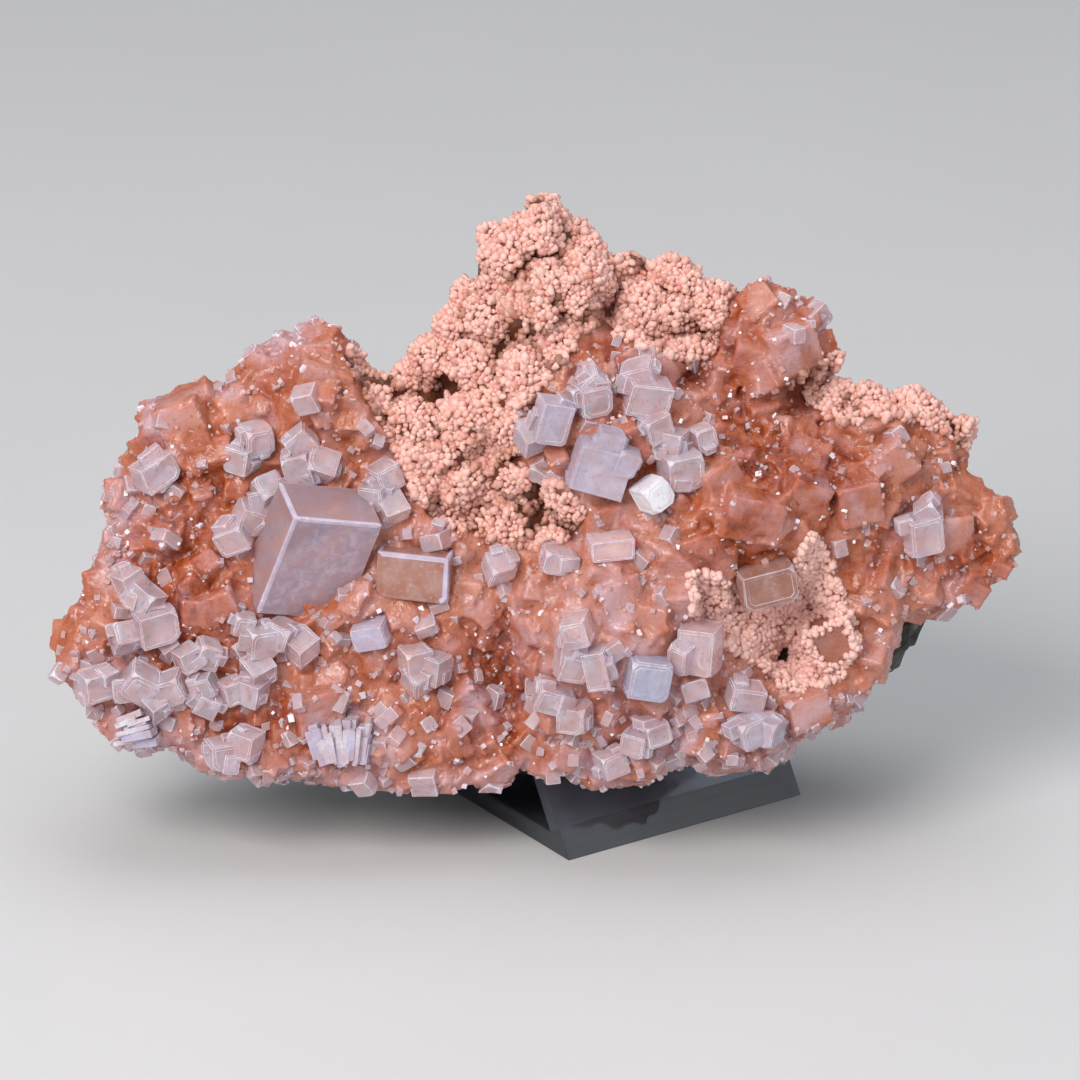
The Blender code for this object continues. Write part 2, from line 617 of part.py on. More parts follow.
def large_block(collection, name, grow, corner):
    """The large crystal, from its nearest corner and its three edges as they run in the face.

    The edges stand square to each other, which fixes how far each one falls back.
    """
    first, second, third = (Vector(edge) for edge in LARGE_EDGES)
    one = -first.dot(second)
    two = -first.dot(third)
    three = -second.dot(third)
    fall_first = math.sqrt(one * two / three)
    falls = (fall_first, one / fall_first, two / fall_first)
    edges = [Vector((flat.x, flat.y, -fall))
             for flat, fall in zip((first, second, third), falls)]
    axes = Matrix([edge.normalized() for edge in edges]).transposed()
    if axes.determinant() < 0.0:
        axes = Matrix([-edges[0].normalized(), edges[1].normalized(),
                       edges[2].normalized()]).transposed()
    sides = [edge.length + 2.0 * grow for edge in edges]
    middle = Vector(LARGE_CORNER) + 0.5 * sum(edges, Vector())
    return block(collection, name, middle, axes, sides, corner)


def joined(pieces):
    """All pieces united in the first one."""
    first = pieces[0]
    for piece in pieces[1:]:
        combine(first, piece, "UNION")
        bpy.data.objects.remove(piece)
    return first


def outline_solid(name, ring, thickness, collection):
    """Solid of even thickness from a closed flat outline, centred on its plane."""
    curve = bpy.data.curves.new(name, "CURVE")
    curve.dimensions = "2D"
    curve.fill_mode = "BOTH"
    curve.extrude = 0.5 * thickness
    spline = curve.splines.new("POLY")
    spline.points.add(len(ring) - 1)
    for point, (x, y) in zip(spline.points, ring):
        point.co = (x, y, 0.0, 1.0)
    spline.use_cyclic_u = True
    drawn = bpy.data.objects.new(name, curve)
    collection.objects.link(drawn)
    graph = bpy.context.evaluated_depsgraph_get()
    mesh = bpy.data.meshes.new_from_object(drawn.evaluated_get(graph))
    bpy.data.objects.remove(drawn)
    bm = bmesh.new()
    bm.from_mesh(mesh)
    bmesh.ops.remove_doubles(bm, verts=bm.verts[:], dist=WELD)
    bmesh.ops.triangulate(bm, faces=bm.faces[:])
    bmesh.ops.recalc_face_normals(bm, faces=bm.faces[:])
    return new_object(name, bm, collection)


def area_prism(name, ring, grow, collection):
    """Upright prism over a ring of corners of the face."""
    prism = outline_solid(name, offset_ring(ring, grow), 2.0 * PRISM_REACH, collection)
    prism.data.transform(Matrix.Translation((0.0, 0.0, PRISM_REACH - 6.0)))
    return prism


def fill_entries():
    """Rows for the smaller peach blocks, spread over the free part of the crust."""
    chance = random.Random(FILL_SEED)
    taken = [(entry[0], entry[1], 0.5 * max(entry[3:5])) for entry in PEACH_BLOCKS]
    for boxes in CRYSTALS.values():
        taken.extend((entry[0], entry[1], 0.5 * max(entry[3:5])) for entry in boxes)
    taken.append((-39.5, 2.0, 11.0))
    rows = []
    tries = 0
    while len(rows) < FILL_BLOCKS and tries < 6000:
        tries += 1
        a = chance.uniform(-80.0, 80.0)
        b = chance.uniform(-38.0, 46.0)
        size = chance.uniform(*FILL_SIZE)
        if math.hypot(a, b) > 0.93 * reach(math.atan2(b, a), OUTLINE):
            continue
        if any(inside(a, b, offset_ring(ring, 2.4)) for ring in PINK_AREAS.values()):
            continue
        if any(math.hypot(a - x, b - y) < half + 0.4 * size for x, y, half in taken):
            continue
        if any(math.hypot(a - row[0], b - row[1]) < FILL_SPACING for row in rows):
            continue
        rows.append((a, b, -0.25 * size, size * chance.uniform(0.9, 1.3), size, size * 1.1,
                     chance.uniform(-45.0, 45.0), chance.uniform(-30.0, 30.0),
                     chance.uniform(-30.0, 30.0)))
    return rows


# ---------------------------------------------------------------- stand
def flange_section():
    """Corners of the right half of the channel's section, from under the foot upward."""
    half = 0.5 * FOOT_SIDE
    slope = math.tan(FLANGE_LEAN)
    width = SHEET / math.cos(FLANGE_LEAN)
    top = FLANGE_HEIGHT
    outer_top = half - top * slope
    return (
        (half, 0.0),
        (outer_top + FLANGE_EASE * slope, top - FLANGE_EASE),
        (outer_top - 0.5 * FLANGE_EASE, top),
        (outer_top - width + 1.5 * FLANGE_EASE, top),
        (outer_top - width + FLANGE_EASE * slope, top - FLANGE_EASE),
        (half - BASE_SHEET * slope - width, BASE_SHEET),
    )


def stand_body(name, collection):
    """Clear channel bent from one square of acrylic sheet, open at both ends."""
    right = list(flange_section())
    ring = right + [(-x, z) for x, z in reversed(right)]
    stand = outline_solid(name, ring, FOOT_SIDE, collection)
    upright = Matrix.Rotation(0.5 * math.pi, 4, "Z") @ Matrix.Rotation(0.5 * math.pi, 4, "X")
    turned = Matrix.Rotation(STAND_TURN, 4, "Z") @ Matrix.Scale(MM, 4) @ upright
    stand.data.transform(turned)
    return stand


# ---------------------------------------------------------------- materials
def paint(target, colour, roughness):
    """Give an object its own plain material."""
    material = bpy.data.materials.new(target.name)
    material.use_nodes = True
    shader = material.node_tree.nodes["Principled BSDF"]
    shader.inputs["Base Color"].default_value = (*colour, 1.0)
    shader.inputs["Roughness"].default_value = roughness
    shader.inputs["Metallic"].default_value = 0.0
    material.diffuse_color = (*colour, 1.0)
    target.data.materials.clear()
    target.data.materials.append(material)


PEACH = (0.60, 0.29, 0.17)
PINK = (0.66, 0.36, 0.29)
BASALT = (0.055, 0.062, 0.052)
LILAC = (0.62, 0.55, 0.66)
ACRYLIC = (0.05, 0.065, 0.08)


# ---------------------------------------------------------------- assembly
def main():
    for old in list(bpy.data.objects):
        bpy.data.objects.remove(old)
    scene = bpy.context.scene
    stone = bpy.data.collections.new("Apophyllite specimen")
    scene.collection.children.link(stone)
    tools = bpy.data.collections.new("Cutters")
    scene.collection.children.link(tools)

    rock = rock_body("basalt_matrix", stone)
    druse = crust_shell("peach_druse", knobs, TRIANGLES["peach"], stone)
    lumpy = crust_shell("pink_relief", clumps, TRIANGLES["pink"], tools)

    blocks = [listed_block(tools, "block", entry, 0.0, 0.0)
              for entry in PEACH_BLOCKS + tuple(fill_entries())]
    bm = bmesh.new()
    for piece in blocks:
        bm.from_mesh(piece.data)
        bpy.data.objects.remove(piece)
    all_blocks = new_object("peach_blocks", bm, tools)
    combine(druse, all_blocks, "UNION")
    bpy.data.objects.remove(all_blocks)

    pinks = []
    for name, ring in PINK_AREAS.items():
        hole = area_prism("hole", ring, 0.5 * CLEARANCE, tools)
        combine(druse, hole, "DIFFERENCE")
        bpy.data.objects.remove(hole)
        piece = area_prism(name, ring, -0.5 * CLEARANCE, stone)
        combine(piece, lumpy, "INTERSECT")
        pinks.append(piece)
    bpy.data.objects.remove(lumpy)

    crystals = [large_block(stone, "large_apophyllite_crystal", 0.0, 1.0)]
    sockets = [large_block(tools, "socket", CLEARANCE, 0.0)]
    for name, entries in CRYSTALS.items():
        corner = 0.8 if max(entries[0][3:5]) > 7.3 and len(entries) == 1 else 0.0
        crystals.append(joined([listed_block(stone, name, entry, 0.0, corner)
                                for entry in entries]))
        sockets.append(joined([listed_block(tools, "socket", entry, CLEARANCE, 0.0)
                               for entry in entries]))

    floor = Vector((0.0, 0.0, 2.0 * CLEARANCE))
    down = Vector((0.0, 0.0, -1.0))
    for crystal in crystals:
        if bounds(crystal)[0].z < floor.z:
            cut_plane(crystal, floor, down)
    for index, crystal in enumerate(crystals):
        for socket in sockets[:index]:
            if meet(crystal, socket):
                combine(crystal, socket, "DIFFERENCE")
    for socket in sockets:
        for body in [druse] + pinks:
            if meet(body, socket):
                combine(body, socket, "DIFFERENCE")
        bpy.data.objects.remove(socket)

    placed = face_to_world()
    rest_height = (FLANGE_HEIGHT + CLEARANCE) * MM
    for body in [rock, druse] + pinks + crystals:
        merge_flat(body, 0.5 if body in crystals else 3.0)
        keep_largest(body)
        body.data.transform(placed)
        low = bounds(body)[0].z
        if low < rest_height:
            cut_plane(body, Vector((0.0, 0.0, rest_height)), Vector((0.0, 0.0, -1.0)))

    stand = stand_body("acrylic_stand", stone)

    paint(rock, BASALT, 0.85)
    paint(druse, PEACH, 0.4)
    for body in pinks:
        paint(body, PINK, 0.55)
    for body in crystals:
        paint(body, LILAC, 0.15)
    paint(stand, ACRYLIC, 0.08)

    bpy.data.collections.remove(tools)


main()
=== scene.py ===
"""Looks of the apophyllite specimen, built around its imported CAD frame.

The stone is described in the frame of its own face, as the CAD is: a runs to the right, b up
the face and c out of it, in millimetres. on_face() carries those points to the world.
"""

import math
import random

import bmesh
import bpy
import numpy as np
from mathutils import Euler, Matrix, Vector, noise
from mathutils.kdtree import KDTree


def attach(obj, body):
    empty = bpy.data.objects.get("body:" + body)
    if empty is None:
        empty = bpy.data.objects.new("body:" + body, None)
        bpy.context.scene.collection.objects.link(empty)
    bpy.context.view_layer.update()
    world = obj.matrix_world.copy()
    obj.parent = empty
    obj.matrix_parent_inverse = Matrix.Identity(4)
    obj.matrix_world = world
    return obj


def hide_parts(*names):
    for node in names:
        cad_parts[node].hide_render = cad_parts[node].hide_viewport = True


noise.seed_set(7)  # without it noise_vector is offset by the time of day

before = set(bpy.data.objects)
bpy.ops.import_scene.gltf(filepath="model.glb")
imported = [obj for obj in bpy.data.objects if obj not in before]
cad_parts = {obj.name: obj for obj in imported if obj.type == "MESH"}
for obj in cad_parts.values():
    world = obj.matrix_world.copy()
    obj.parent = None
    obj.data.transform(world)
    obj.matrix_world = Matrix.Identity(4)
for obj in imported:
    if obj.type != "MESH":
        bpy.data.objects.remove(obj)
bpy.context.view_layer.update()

# ---------------------------------------------------------------- dimensions shared with the CAD
MM = 0.001
LEAN = math.radians(22.0)
FACE_MIDDLE = Vector((-11.55, -13.15, 47.6)) * MM
RIM_HEIGHT = 8.0
CRUST_RELIEF = 11.0
CRUST_BACK = 0.3
REST_HEIGHT = 13.1 * MM
LARGE_CORNER = (-41.6, 7.1, 27.0)
LARGE_EDGES = ((14.6, -1.2), (-6.9, -16.2), (-3.0, 6.2))

# Edge of the crystal crust round the face, clockwise from the top.
OUTLINE = (
    (0.2, 64.5), (2.4, 63.0), (4.7, 60.0), (7.4, 58.0), (10.2, 55.7), (11.6, 53.8),
    (16.7, 53.6), (22.9, 53.4), (24.8, 50.8), (28.0, 50.3), (30.5, 47.8), (34.1, 46.0),
    (37.8, 46.0), (41.4, 46.9), (43.6, 45.3), (47.6, 42.1), (49.5, 39.1), (49.3, 35.7),
    (46.9, 32.4), (47.6, 30.6), (52.8, 30.5), (58.8, 29.8), (62.2, 28.6), (64.5, 29.7),
    (69.8, 27.2), (74.3, 24.8), (75.3, 23.4), (74.1, 20.7), (74.0, 15.5), (76.2, 12.8),
    (80.2, 7.9), (82.1, 1.9), (81.2, -1.0), (76.4, -5.5), (71.2, -8.6), (66.4, -8.3),
    (63.8, -10.3), (61.9, -13.8), (59.5, -16.6), (57.8, -19.3), (57.2, -22.8),
    (55.2, -25.3), (51.4, -26.7), (46.9, -29.7), (42.1, -32.4), (37.8, -35.0),
    (33.6, -36.4), (29.7, -36.6), (26.4, -35.5), (21.9, -36.2), (16.2, -38.1),
    (11.4, -39.3), (5.5, -38.1), (0.9, -36.2), (-2.8, -34.6), (-5.7, -37.8),
    (-10.5, -38.4), (-16.4, -39.5), (-24.8, -40.0), (-32.4, -39.1), (-38.8, -38.4),
    (-50.0, -38.3), (-53.8, -37.2), (-59.0, -35.2), (-60.9, -33.1), (-67.2, -32.9),
    (-72.8, -30.5), (-76.6, -25.7), (-81.0, -21.0), (-82.1, -16.4), (-83.3, -13.8),
    (-81.0, -9.0), (-77.2, -2.6), (-75.3, 4.1), (-74.1, 10.9), (-71.0, 17.6),
    (-69.3, 22.2), (-66.9, 27.4), (-61.7, 29.7), (-55.0, 29.8), (-52.2, 32.8),
    (-49.7, 33.0), (-45.7, 37.8), (-42.8, 37.9), (-40.7, 40.5), (-39.0, 40.2),
    (-38.2, 38.3), (-36.0, 38.3), (-32.8, 35.7), (-30.9, 32.9), (-27.2, 32.4),
    (-24.8, 31.8), (-22.8, 34.7), (-19.8, 37.9), (-17.2, 41.7), (-14.7, 45.2),
    (-13.6, 48.2), (-11.8, 50.0), (-11.2, 53.6), (-10.0, 57.2), (-7.4, 57.8),
    (-5.2, 57.4), (-3.4, 60.0), (-1.9, 62.8),
)

# Rises and hollows of the crust: middle a, b, half widths and height.
RELIEF = (
    (-53.4, -6.9, 25.0, 22.0, 4.0),
    (-37.1, 29.0, 11.0, 10.0, 6.0),
    (-61.2, 22.4, 9.0, 8.0, 4.0),
    (-23.3, -3.4, 11.0, 12.0, 3.0),
    (-70.7, -22.4, 12.0, 10.0, 2.0),
    (-36.2, -33.0, 26.0, 7.0, 3.0),
    (-1.7, 44.0, 12.0, 20.0, 7.0),
    (-17.2, 22.4, 13.0, 15.0, 2.0),
    (12.1, 22.4, 17.0, 14.0, 10.0),
    (12.1, -10.3, 19.0, 17.0, 12.0),
    (36.2, 7.5, 15.0, 11.0, 11.0),
    (42.2, -13.5, 9.0, 8.0, -6.0),
    (58.6, 12.1, 15.0, 12.0, 4.0),
    (76.0, 4.0, 14.0, 16.0, -4.0),
    (42.2, 37.1, 8.0, 8.0, 5.0),
    (34.5, -30.2, 16.0, 8.0, 5.0),
    (-6.0, -19.0, 5.0, 14.0, -6.0),
)

# Small pits of the crust, sunk into its relief and darkened with painted shade, in the same
# terms.
PITS = (
    (12.4, 43.0, 2.6, 2.6, -8.0),
    (45.3, 28.6, 3.2, 2.6, -6.0),
    (26.2, 32.2, 2.4, 2.4, -5.0),
    (-12.1, 9.0, 2.4, 2.4, -4.0),
    (-14.7, 30.2, 2.4, 2.4, -4.0),
    (-8.6, 19.8, 2.0, 2.0, -3.5),
    (3.8, 36.7, 2.2, 2.2, -4.0),
    (42.8, -16.7, 3.4, 3.2, -6.0),
)

# Areas of pink grained crust, each a ring of corners on the face.
PINK_AREAS = {
    "pink_crust_peak": (
        (-33.4, 36.0), (-29.6, 27.4), (-26.2, 22.4), (-23.8, 16.9), (-20.7, 10.3),
        (-17.2, 6.6), (-11.2, 4.8), (-6.0, 2.1), (0.9, 2.4), (5.5, 4.1), (7.6, 8.3),
        (3.5, 12.4), (-2.7, 15.9), (-4.6, 20.7), (-3.4, 26.5), (0.9, 30.0), (4.0, 34.1),
        (6.6, 38.4), (9.4, 40.6), (12.4, 44.6), (11.6, 54.0), (11.4, 72.0), (-6.0, 76.0),
        (-22.0, 62.0), (-27.0, 44.0), (-30.6, 38.0),
    ),
    "pink_crust_upper_right": (
        (9.4, 40.6), (12.4, 44.6), (11.6, 54.0), (11.4, 60.0), (27.6, 60.0), (34.5, 51.0),
        (31.8, 44.8), (31.0, 39.7), (29.7, 35.9), (25.9, 34.1), (19.8, 35.9), (14.0, 38.2),
    ),
    "pink_crust_right_rim": (
        (46.9, 27.4), (44.6, 31.4), (53.4, 37.0), (72.4, 35.0), (84.0, 25.0), (77.6, 17.2),
        (73.4, 19.7), (69.3, 22.4), (64.8, 24.0), (59.3, 24.6), (54.2, 23.4), (50.7, 24.0),
    ),
    "pink_crust_pocket": (
        (25.5, -2.1), (30.3, -2.4), (34.8, -5.4), (39.7, -7.2), (43.4, -5.5), (44.1, 0.0),
        (46.4, 4.5), (49.3, 0.7), (52.8, -6.9), (54.5, -13.8), (52.1, -20.0), (46.9, -22.4),
        (42.4, -22.4), (39.3, -18.9), (35.2, -16.5), (30.3, -13.1), (26.2, -9.0),
    ),
}

# Loose-standing clear and milky crystals. Each box: middle a, b, height of its middle over
# the crust, three sides, then its turn in the face, tip and roll in degrees.
CRYSTALS = {
    "embedded_slab_crystal": (
        (-21.4, -2.1, -1.0, 12.6, 8.0, 7.0, -6, 18, -8),
    ),
    "crystals_left_of_large": (
        (-52.6, 4.1, -0.2, 5.4, 4.4, 5.0, 20, 28, -22),
        (-49.8, 7.5, 0.0, 4.8, 4.6, 5.0, -15, 28, 24),
        (-46.6, 11.8, 0.4, 4.8, 4.6, 5.0, 24, -26, 22),
        (-48.4, 9.8, -0.8, 4.0, 4.4, 5.0, 10, 10, 8),
    ),
    "fan_crystals_over_large": (
        (-41.4, 15.9, 0.8, 4.8, 5.4, 5.2, 14, 20, -12),
        (-37.8, 16.4, 0.6, 5.2, 4.8, 5.2, -20, -22, 14),
        (-41.0, 20.6, 0.2, 4.4, 4.6, 4.8, 38, 25, -18),
    ),
    "crystal_pair_upper_left": (
        (-48.8, 20.8, 0.2, 4.8, 4.8, 5.0, 12, 28, 20),
        (-51.2, 17.6, 0.2, 4.4, 4.6, 5.0, -18, 26, -22),
    ),
    "crystals_right_of_large": (
        (-26.6, 14.5, 0.2, 4.4, 4.4, 5.0, 30, 28, 18),
        (-28.2, 11.2, 0.2, 4.4, 4.2, 5.0, -8, 26, -22),
        (-25.4, 8.6, 0.0, 4.6, 4.4, 5.0, 22, -24, 20),
    ),
    "slab_crystal_left_shoulder": (
        (-66.2, 15.3, 0.3, 6.8, 4.8, 5.0, 35, 28, 20),
    ),
    "crystal_chain_left": (
        (-70.6, -3.6, 0.2, 4.4, 4.0, 5.0, 34, 28, 22),
        (-67.8, -6.8, 0.4, 4.8, 4.4, 5.0, -40, 24, -20),
        (-66.0, -11.2, 0.4, 6.8, 5.8, 5.4, 15, 26, 18),
        (-71.4, -13.4, 0.2, 4.2, 4.2, 5.0, 10, -24, 20),
    ),
    "crystals_below_large": (
        (-48.1, -13.6, 0.5, 5.0, 5.0, 5.4, 8, 30, 22),
        (-44.4, -12.8, 0.2, 4.6, 4.4, 5.0, -25, 26, -18),
        (-41.0, -14.8, 0.2, 4.8, 4.6, 5.0, 38, -26, 22),
        (-51.0, -10.8, 0.0, 3.4, 3.6, 4.6, -12, 22, 16),
    ),
    "crystal_row_lower_left": (
        (-76.0, -21.2, 0.0, 5.8, 4.8, 5.0, 16, 28, 22),
        (-71.6, -22.0, -0.6, 4.0, 4.2, 5.0, 8, 14, 10),
        (-68.6, -21.0, 0.4, 5.6, 5.4, 5.4, -28, 30, 20),
        (-63.6, -22.0, 0.3, 5.6, 4.8, 5.0, 18, 26, -22),
        (-66.0, -25.0, 0.0, 4.2, 4.2, 4.6, 35, -24, 20),
    ),
    "crystals_left_slope": (
        (-60.4, -16.8, 0.2, 4.2, 3.8, 4.6, 30, 28, 18),
        (-57.2, -16.0, 0.2, 3.8, 4.4, 4.6, -12, 26, 22),
    ),
    "bright_crystals_lower_left": (
        (-57.6, -21.4, 0.4, 3.9, 3.9, 4.6, 18, 24, -20),
        (-57.2, -24.4, 0.4, 4.0, 3.7, 4.6, -24, 28, 16),
    ),
    "crystals_lower_slope": (
        (-53.0, -22.4, 0.0, 3.8, 3.8, 4.6, 22, 26, 20),
        (-49.6, -22.4, 0.2, 4.8, 4.2, 4.8, -20, 28, -20),
        (-48.4, -18.8, 0.3, 4.8, 4.6, 5.0, 30, -26, 18),
    ),
    "white_blade_crystals": (
        (-70.6, -29.2, 0.0, 6.0, 2.2, 5.0, 60, 18, 10),
        (-68.8, -30.0, 0.0, 6.4, 2.2, 5.0, 100, 18, -12),
        (-69.6, -28.6, 0.0, 6.0, 2.6, 5.0, 22, -20, 12),
        (-69.4, -30.4, -0.3, 5.2, 3.0, 5.0, 5, 20, -8),
    ),
    "crystals_at_left_foot": (
        (-54.8, -33.2, -0.4, 4.8, 4.6, 5.0, 10, 26, 20),
        (-50.6, -31.4, 0.0, 4.8, 4.6, 5.0, -20, 28, -20),
    ),
    "white_fan_crystal": (
        (-36.4, -31.6, -0.2, 2.3, 7.0, 6.0, 30, 14, 6),
        (-33.8, -30.8, 0.0, 2.6, 7.4, 6.0, 4, 16, -6),
        (-31.4, -31.6, -0.2, 2.3, 7.0, 6.0, -24, 14, 6),
        (-33.9, -33.2, 0.0, 6.4, 4.6, 5.6, 8, 22, 16),
    ),
    "crystal_cluster_by_groove": (
        (-21.6, -17.0, 0.6, 4.8, 4.6, 5.4, 14, 30, 22),
        (-18.2, -18.4, 0.6, 4.6, 4.8, 5.4, -22, 28, -24),
        (-20.8, -20.4, 0.2, 4.6, 4.4, 5.2, 30, -26, 20),
    ),
    "milky_crystal_left_centre": (
        (-29.0, -12.6, 0.4, 5.8, 4.2, 5.0, 10, 24, -18),
    ),
    "crystals_beside_peak": (
        (2.0, 24.0, 1.2, 5.4, 7.2, 5.6, -8, 22, 18),
        (-1.4, 21.0, 0.8, 4.6, 4.4, 5.2, 24, -24, 18),
    ),
    "crystal_pair_ridge_left": (
        (9.0, 27.6, 0.6, 5.4, 5.0, 5.4, 12, 26, 20),
        (9.2, 30.4, 1.4, 4.0, 3.8, 4.4, 40, 26, -16),
    ),
    "crystal_pair_ridge_top": (
        (18.2, 28.0, 0.8, 7.4, 5.8, 6.0, -8, 24, 16),
        (17.0, 31.8, 2.0, 5.4, 4.4, 5.2, 14, 28, -16),
    ),
    "crystals_ridge_right": (
        (19.7, 22.8, 1.0, 4.6, 4.4, 5.0, 26, 28, 18),
        (22.4, 20.2, 0.8, 4.8, 4.2, 5.0, -14, 22, -18),
        (24.0, 15.6, 0.8, 6.4, 5.8, 5.8, 12, 26, 20),
        (22.8, 18.2, -0.2, 4.2, 4.6, 5.2, 8, 12, 8),
    ),
    "small_crystal_ridge_end": (
        (27.8, 21.0, 0.2, 3.8, 3.7, 4.2, 22, 26, 20),
    ),
    "stepped_slab_crystal": (
        (10.2, 15.9, 1.0, 9.4, 8.2, 6.2, -14, 20, 12),
        (11.8, 20.0, 1.6, 4.4, 4.4, 5.0, -14, 20, 12),
        (14.6, 16.8, 2.0, 3.8, 4.4, 4.8, -20, 22, 14),
    ),
    "white_rhomb_crystal": (
        (19.2, 11.2, 2.2, 4.9, 4.7, 6.0, 38, 24, 18),
    ),
    "long_crystal_centre": (
        (12.1, 2.4, 0.8, 7.4, 3.6, 5.0, 6, 24, 10),
    ),
    "crystal_centre": (
        (2.8, 0.2, 0.3, 5.0, 4.0, 4.8, -8, 26, 14),
    ),
    "crystal_below_peak": (
        (-7.0, -1.2, 0.6, 4.7, 4.4, 5.0, 14, -24, 20),
    ),
    "prism_crystals_lower_centre": (
        (6.4, -11.8, 1.0, 4.4, 4.8, 5.6, 10, 24, -18),
        (5.4, -15.4, 0.2, 4.4, 4.2, 5.4, -4, 16, 10),
        (5.4, -17.8, 0.8, 4.9, 4.6, 5.4, -10, 26, 20),
        (9.8, -18.4, 1.2, 3.9, 6.8, 5.4, 8, 18, -12),
    ),
    "pale_blue_crystal": (
        (18.3, -19.9, 1.4, 7.0, 6.4, 6.6, -8, 18, 12),
    ),
    "clear_crystal_over_pocket": (
        (27.4, -15.0, 1.0, 6.4, 8.2, 6.4, -10, 22, -16),
    ),
    "crystal_pair_low_centre": (
        (2.2, -23.4, 0.8, 6.2, 4.4, 5.4, -16, 28, 16),
        (6.0, -26.8, 0.6, 5.0, 4.8, 5.4, -8, 26, -18),
    ),
    "crystals_above_foot": (
        (19.6, -29.4, 0.6, 4.4, 3.9, 4.8, 20, 26, 18),
        (16.6, -31.2, 0.4, 4.4, 4.0, 4.8, -18, 26, -16),
    ),
    "crystal_at_foot": (
        (12.2, -34.8, -0.4, 4.6, 4.2, 4.8, 22, 24, 18),
    ),
    "slab_crystal_under_tongue": (
        (38.8, -4.0, 3.4, 9.2, 6.0, 5.8, 14, 24, 10),
    ),
    "crystal_below_pocket": (
        (35.3, -23.2, 1.0, 5.8, 4.2, 5.2, -6, 24, 16),
    ),
    "whitish_cluster_lower_right": (
        (35.8, -29.2, 0.6, 4.9, 4.7, 5.4, 24, 26, 18),
        (38.9, -29.0, 0.6, 4.9, 4.6, 5.4, -20, 26, -22),
    ),
    "peach_crystal_beside_pocket": (
        (50.8, -13.2, 1.2, 7.8, 7.4, 6.8, 24, 22, -16),
    ),
    "crystals_right_lobe": (
        (65.6, 4.6, 0.4, 6.0, 6.4, 6.0, 14, 24, 18),
        (66.8, 8.6, 0.0, 3.8, 3.8, 5.0, 30, 26, -18),
    ),
}

# Larger blocks of the peach crust that are worth their own shape, in the same terms.
PEACH_BLOCKS = (
    (42.6, 36.6, -1.0, 8.4, 7.8, 8.6, 25, 24, 20),
    (-38.8, -25.4, -0.5, 8.5, 7.6, 8.0, 16, 24, 18),
    (36.0, 8.0, -0.5, 10.0, 8.0, 8.0, -12, 22, 16),
    (28.4, 2.6, -0.5, 7.6, 7.0, 7.6, 18, 26, -18),
    (30.4, 13.4, -0.5, 7.0, 6.6, 7.0, 34, 24, 20),
    (45.4, 11.6, -0.5, 7.4, 6.6, 7.0, -20, 24, 18),
    (-61.4, 24.6, -0.8, 8.2, 7.4, 7.6, 18, 20, -16),
    (-37.6, 30.6, -0.8, 9.0, 7.4, 8.0, -14, 22, 16),
    (-33.0, 26.6, -0.8, 6.6, 6.0, 7.0, 28, 22, -20),
    (54.0, 10.0, -0.8, 8.0, 7.0, 7.0, 14, 20, 18),
    (60.8, 17.4, -0.8, 7.4, 6.6, 7.0, 36, 22, -16),
    (70.6, 5.0, -0.8, 7.4, 6.6, 6.6, 8, 20, 18),
    (13.0, -6.4, -0.4, 8.0, 7.6, 7.6, 28, 24, 18),
    (19.4, -9.8, -0.4, 7.0, 6.6, 7.0, -12, 24, -18),
    (45.6, -25.6, -0.6, 7.4, 6.0, 6.6, 20, 20, 16),
)


# ---------------------------------------------------------------- colour and finish zones
# Each row: middle a, b, half widths and strength.
# Rust zones. The row at the right end (75.0, 0.0) is painted shade on the end turned from the
# light; the row on the dome (-38.0, 26.0) darkens the dome.
RUST_AND_SHADE = (
    (-61.7, -0.9, 7.0, 14.0, 0.8), (-64.7, -13.8, 6.0, 6.0, 0.5),
    (-45.7, -27.6, 7.0, 5.0, 0.7), (-6.9, -20.0, 6.0, 11.0, 1.3),
    (-48.3, -10.7, 7.0, 5.0, 0.8), (-54.3, 15.5, 7.0, 6.0, 0.5),
    (15.5, 37.1, 7.0, 4.0, 0.7), (31.9, 36.2, 6.0, 8.0, 0.7),
    (34.5, 6.0, 9.0, 7.0, 0.7), (48.8, 12.8, 8.0, 6.0, 0.6),
    (42.4, 19.1, 11.0, 5.0, 0.7), (34.7, 22.4, 5.0, 5.0, 0.6),
    (17.2, 19.8, 6.0, 6.0, 0.5), (28.4, 0.0, 5.0, 5.0, 0.6),
    (13.8, -24.0, 5.0, 4.0, 0.4), (-25.9, -15.5, 8.0, 6.0, 0.5),
    (58.6, 0.0, 9.0, 9.0, 0.3), (-19.0, -31.0, 8.0, 4.0, 0.4),
    (75.0, 0.0, 6.0, 8.0, 0.55), (-38.0, 26.0, 8.0, 9.0, 0.45),
)
WHITE = (
    (-66.0, 24.7, 3.0, 4.0, 1.0), (-70.7, 10.0, 5.0, 4.0, 0.8),
    (-73.8, 1.7, 3.0, 6.0, 0.8), (-41.4, 39.1, 4.0, 3.0, 0.9),
    (-47.9, 36.7, 4.0, 3.0, 0.8), (-54.8, 29.0, 4.0, 2.0, 0.5),
    (-11.5, -26.0, 3.0, 6.0, 0.6), (-32.8, -31.9, 7.0, 6.0, 0.9),
    (25.9, -31.0, 14.0, 6.0, 0.6), (10.3, -35.3, 10.0, 4.0, 0.7),
    (-51.7, -35.3, 10.0, 3.0, 0.3), (-69.0, -29.3, 6.0, 4.0, 0.8),
    (-75.9, -20.7, 6.0, 5.0, 0.6), (10.0, -15.0, 10.0, 8.0, 0.4),
    (67.2, 6.9, 5.0, 4.0, 0.5), (72.4, -6.9, 6.0, 4.0, 0.4),
    (43.0, 38.0, 5.0, 5.0, 0.5), (17.2, 30.0, 9.0, 5.0, 0.4),
    (62.0, -13.8, 5.0, 3.0, 0.4),
)
PALE = (
    (10.3, -10.3, 15.0, 12.0, 0.9), (6.9, 0.0, 10.0, 6.0, 0.5),
    (-22.4, -1.7, 9.0, 9.0, 0.6),
)
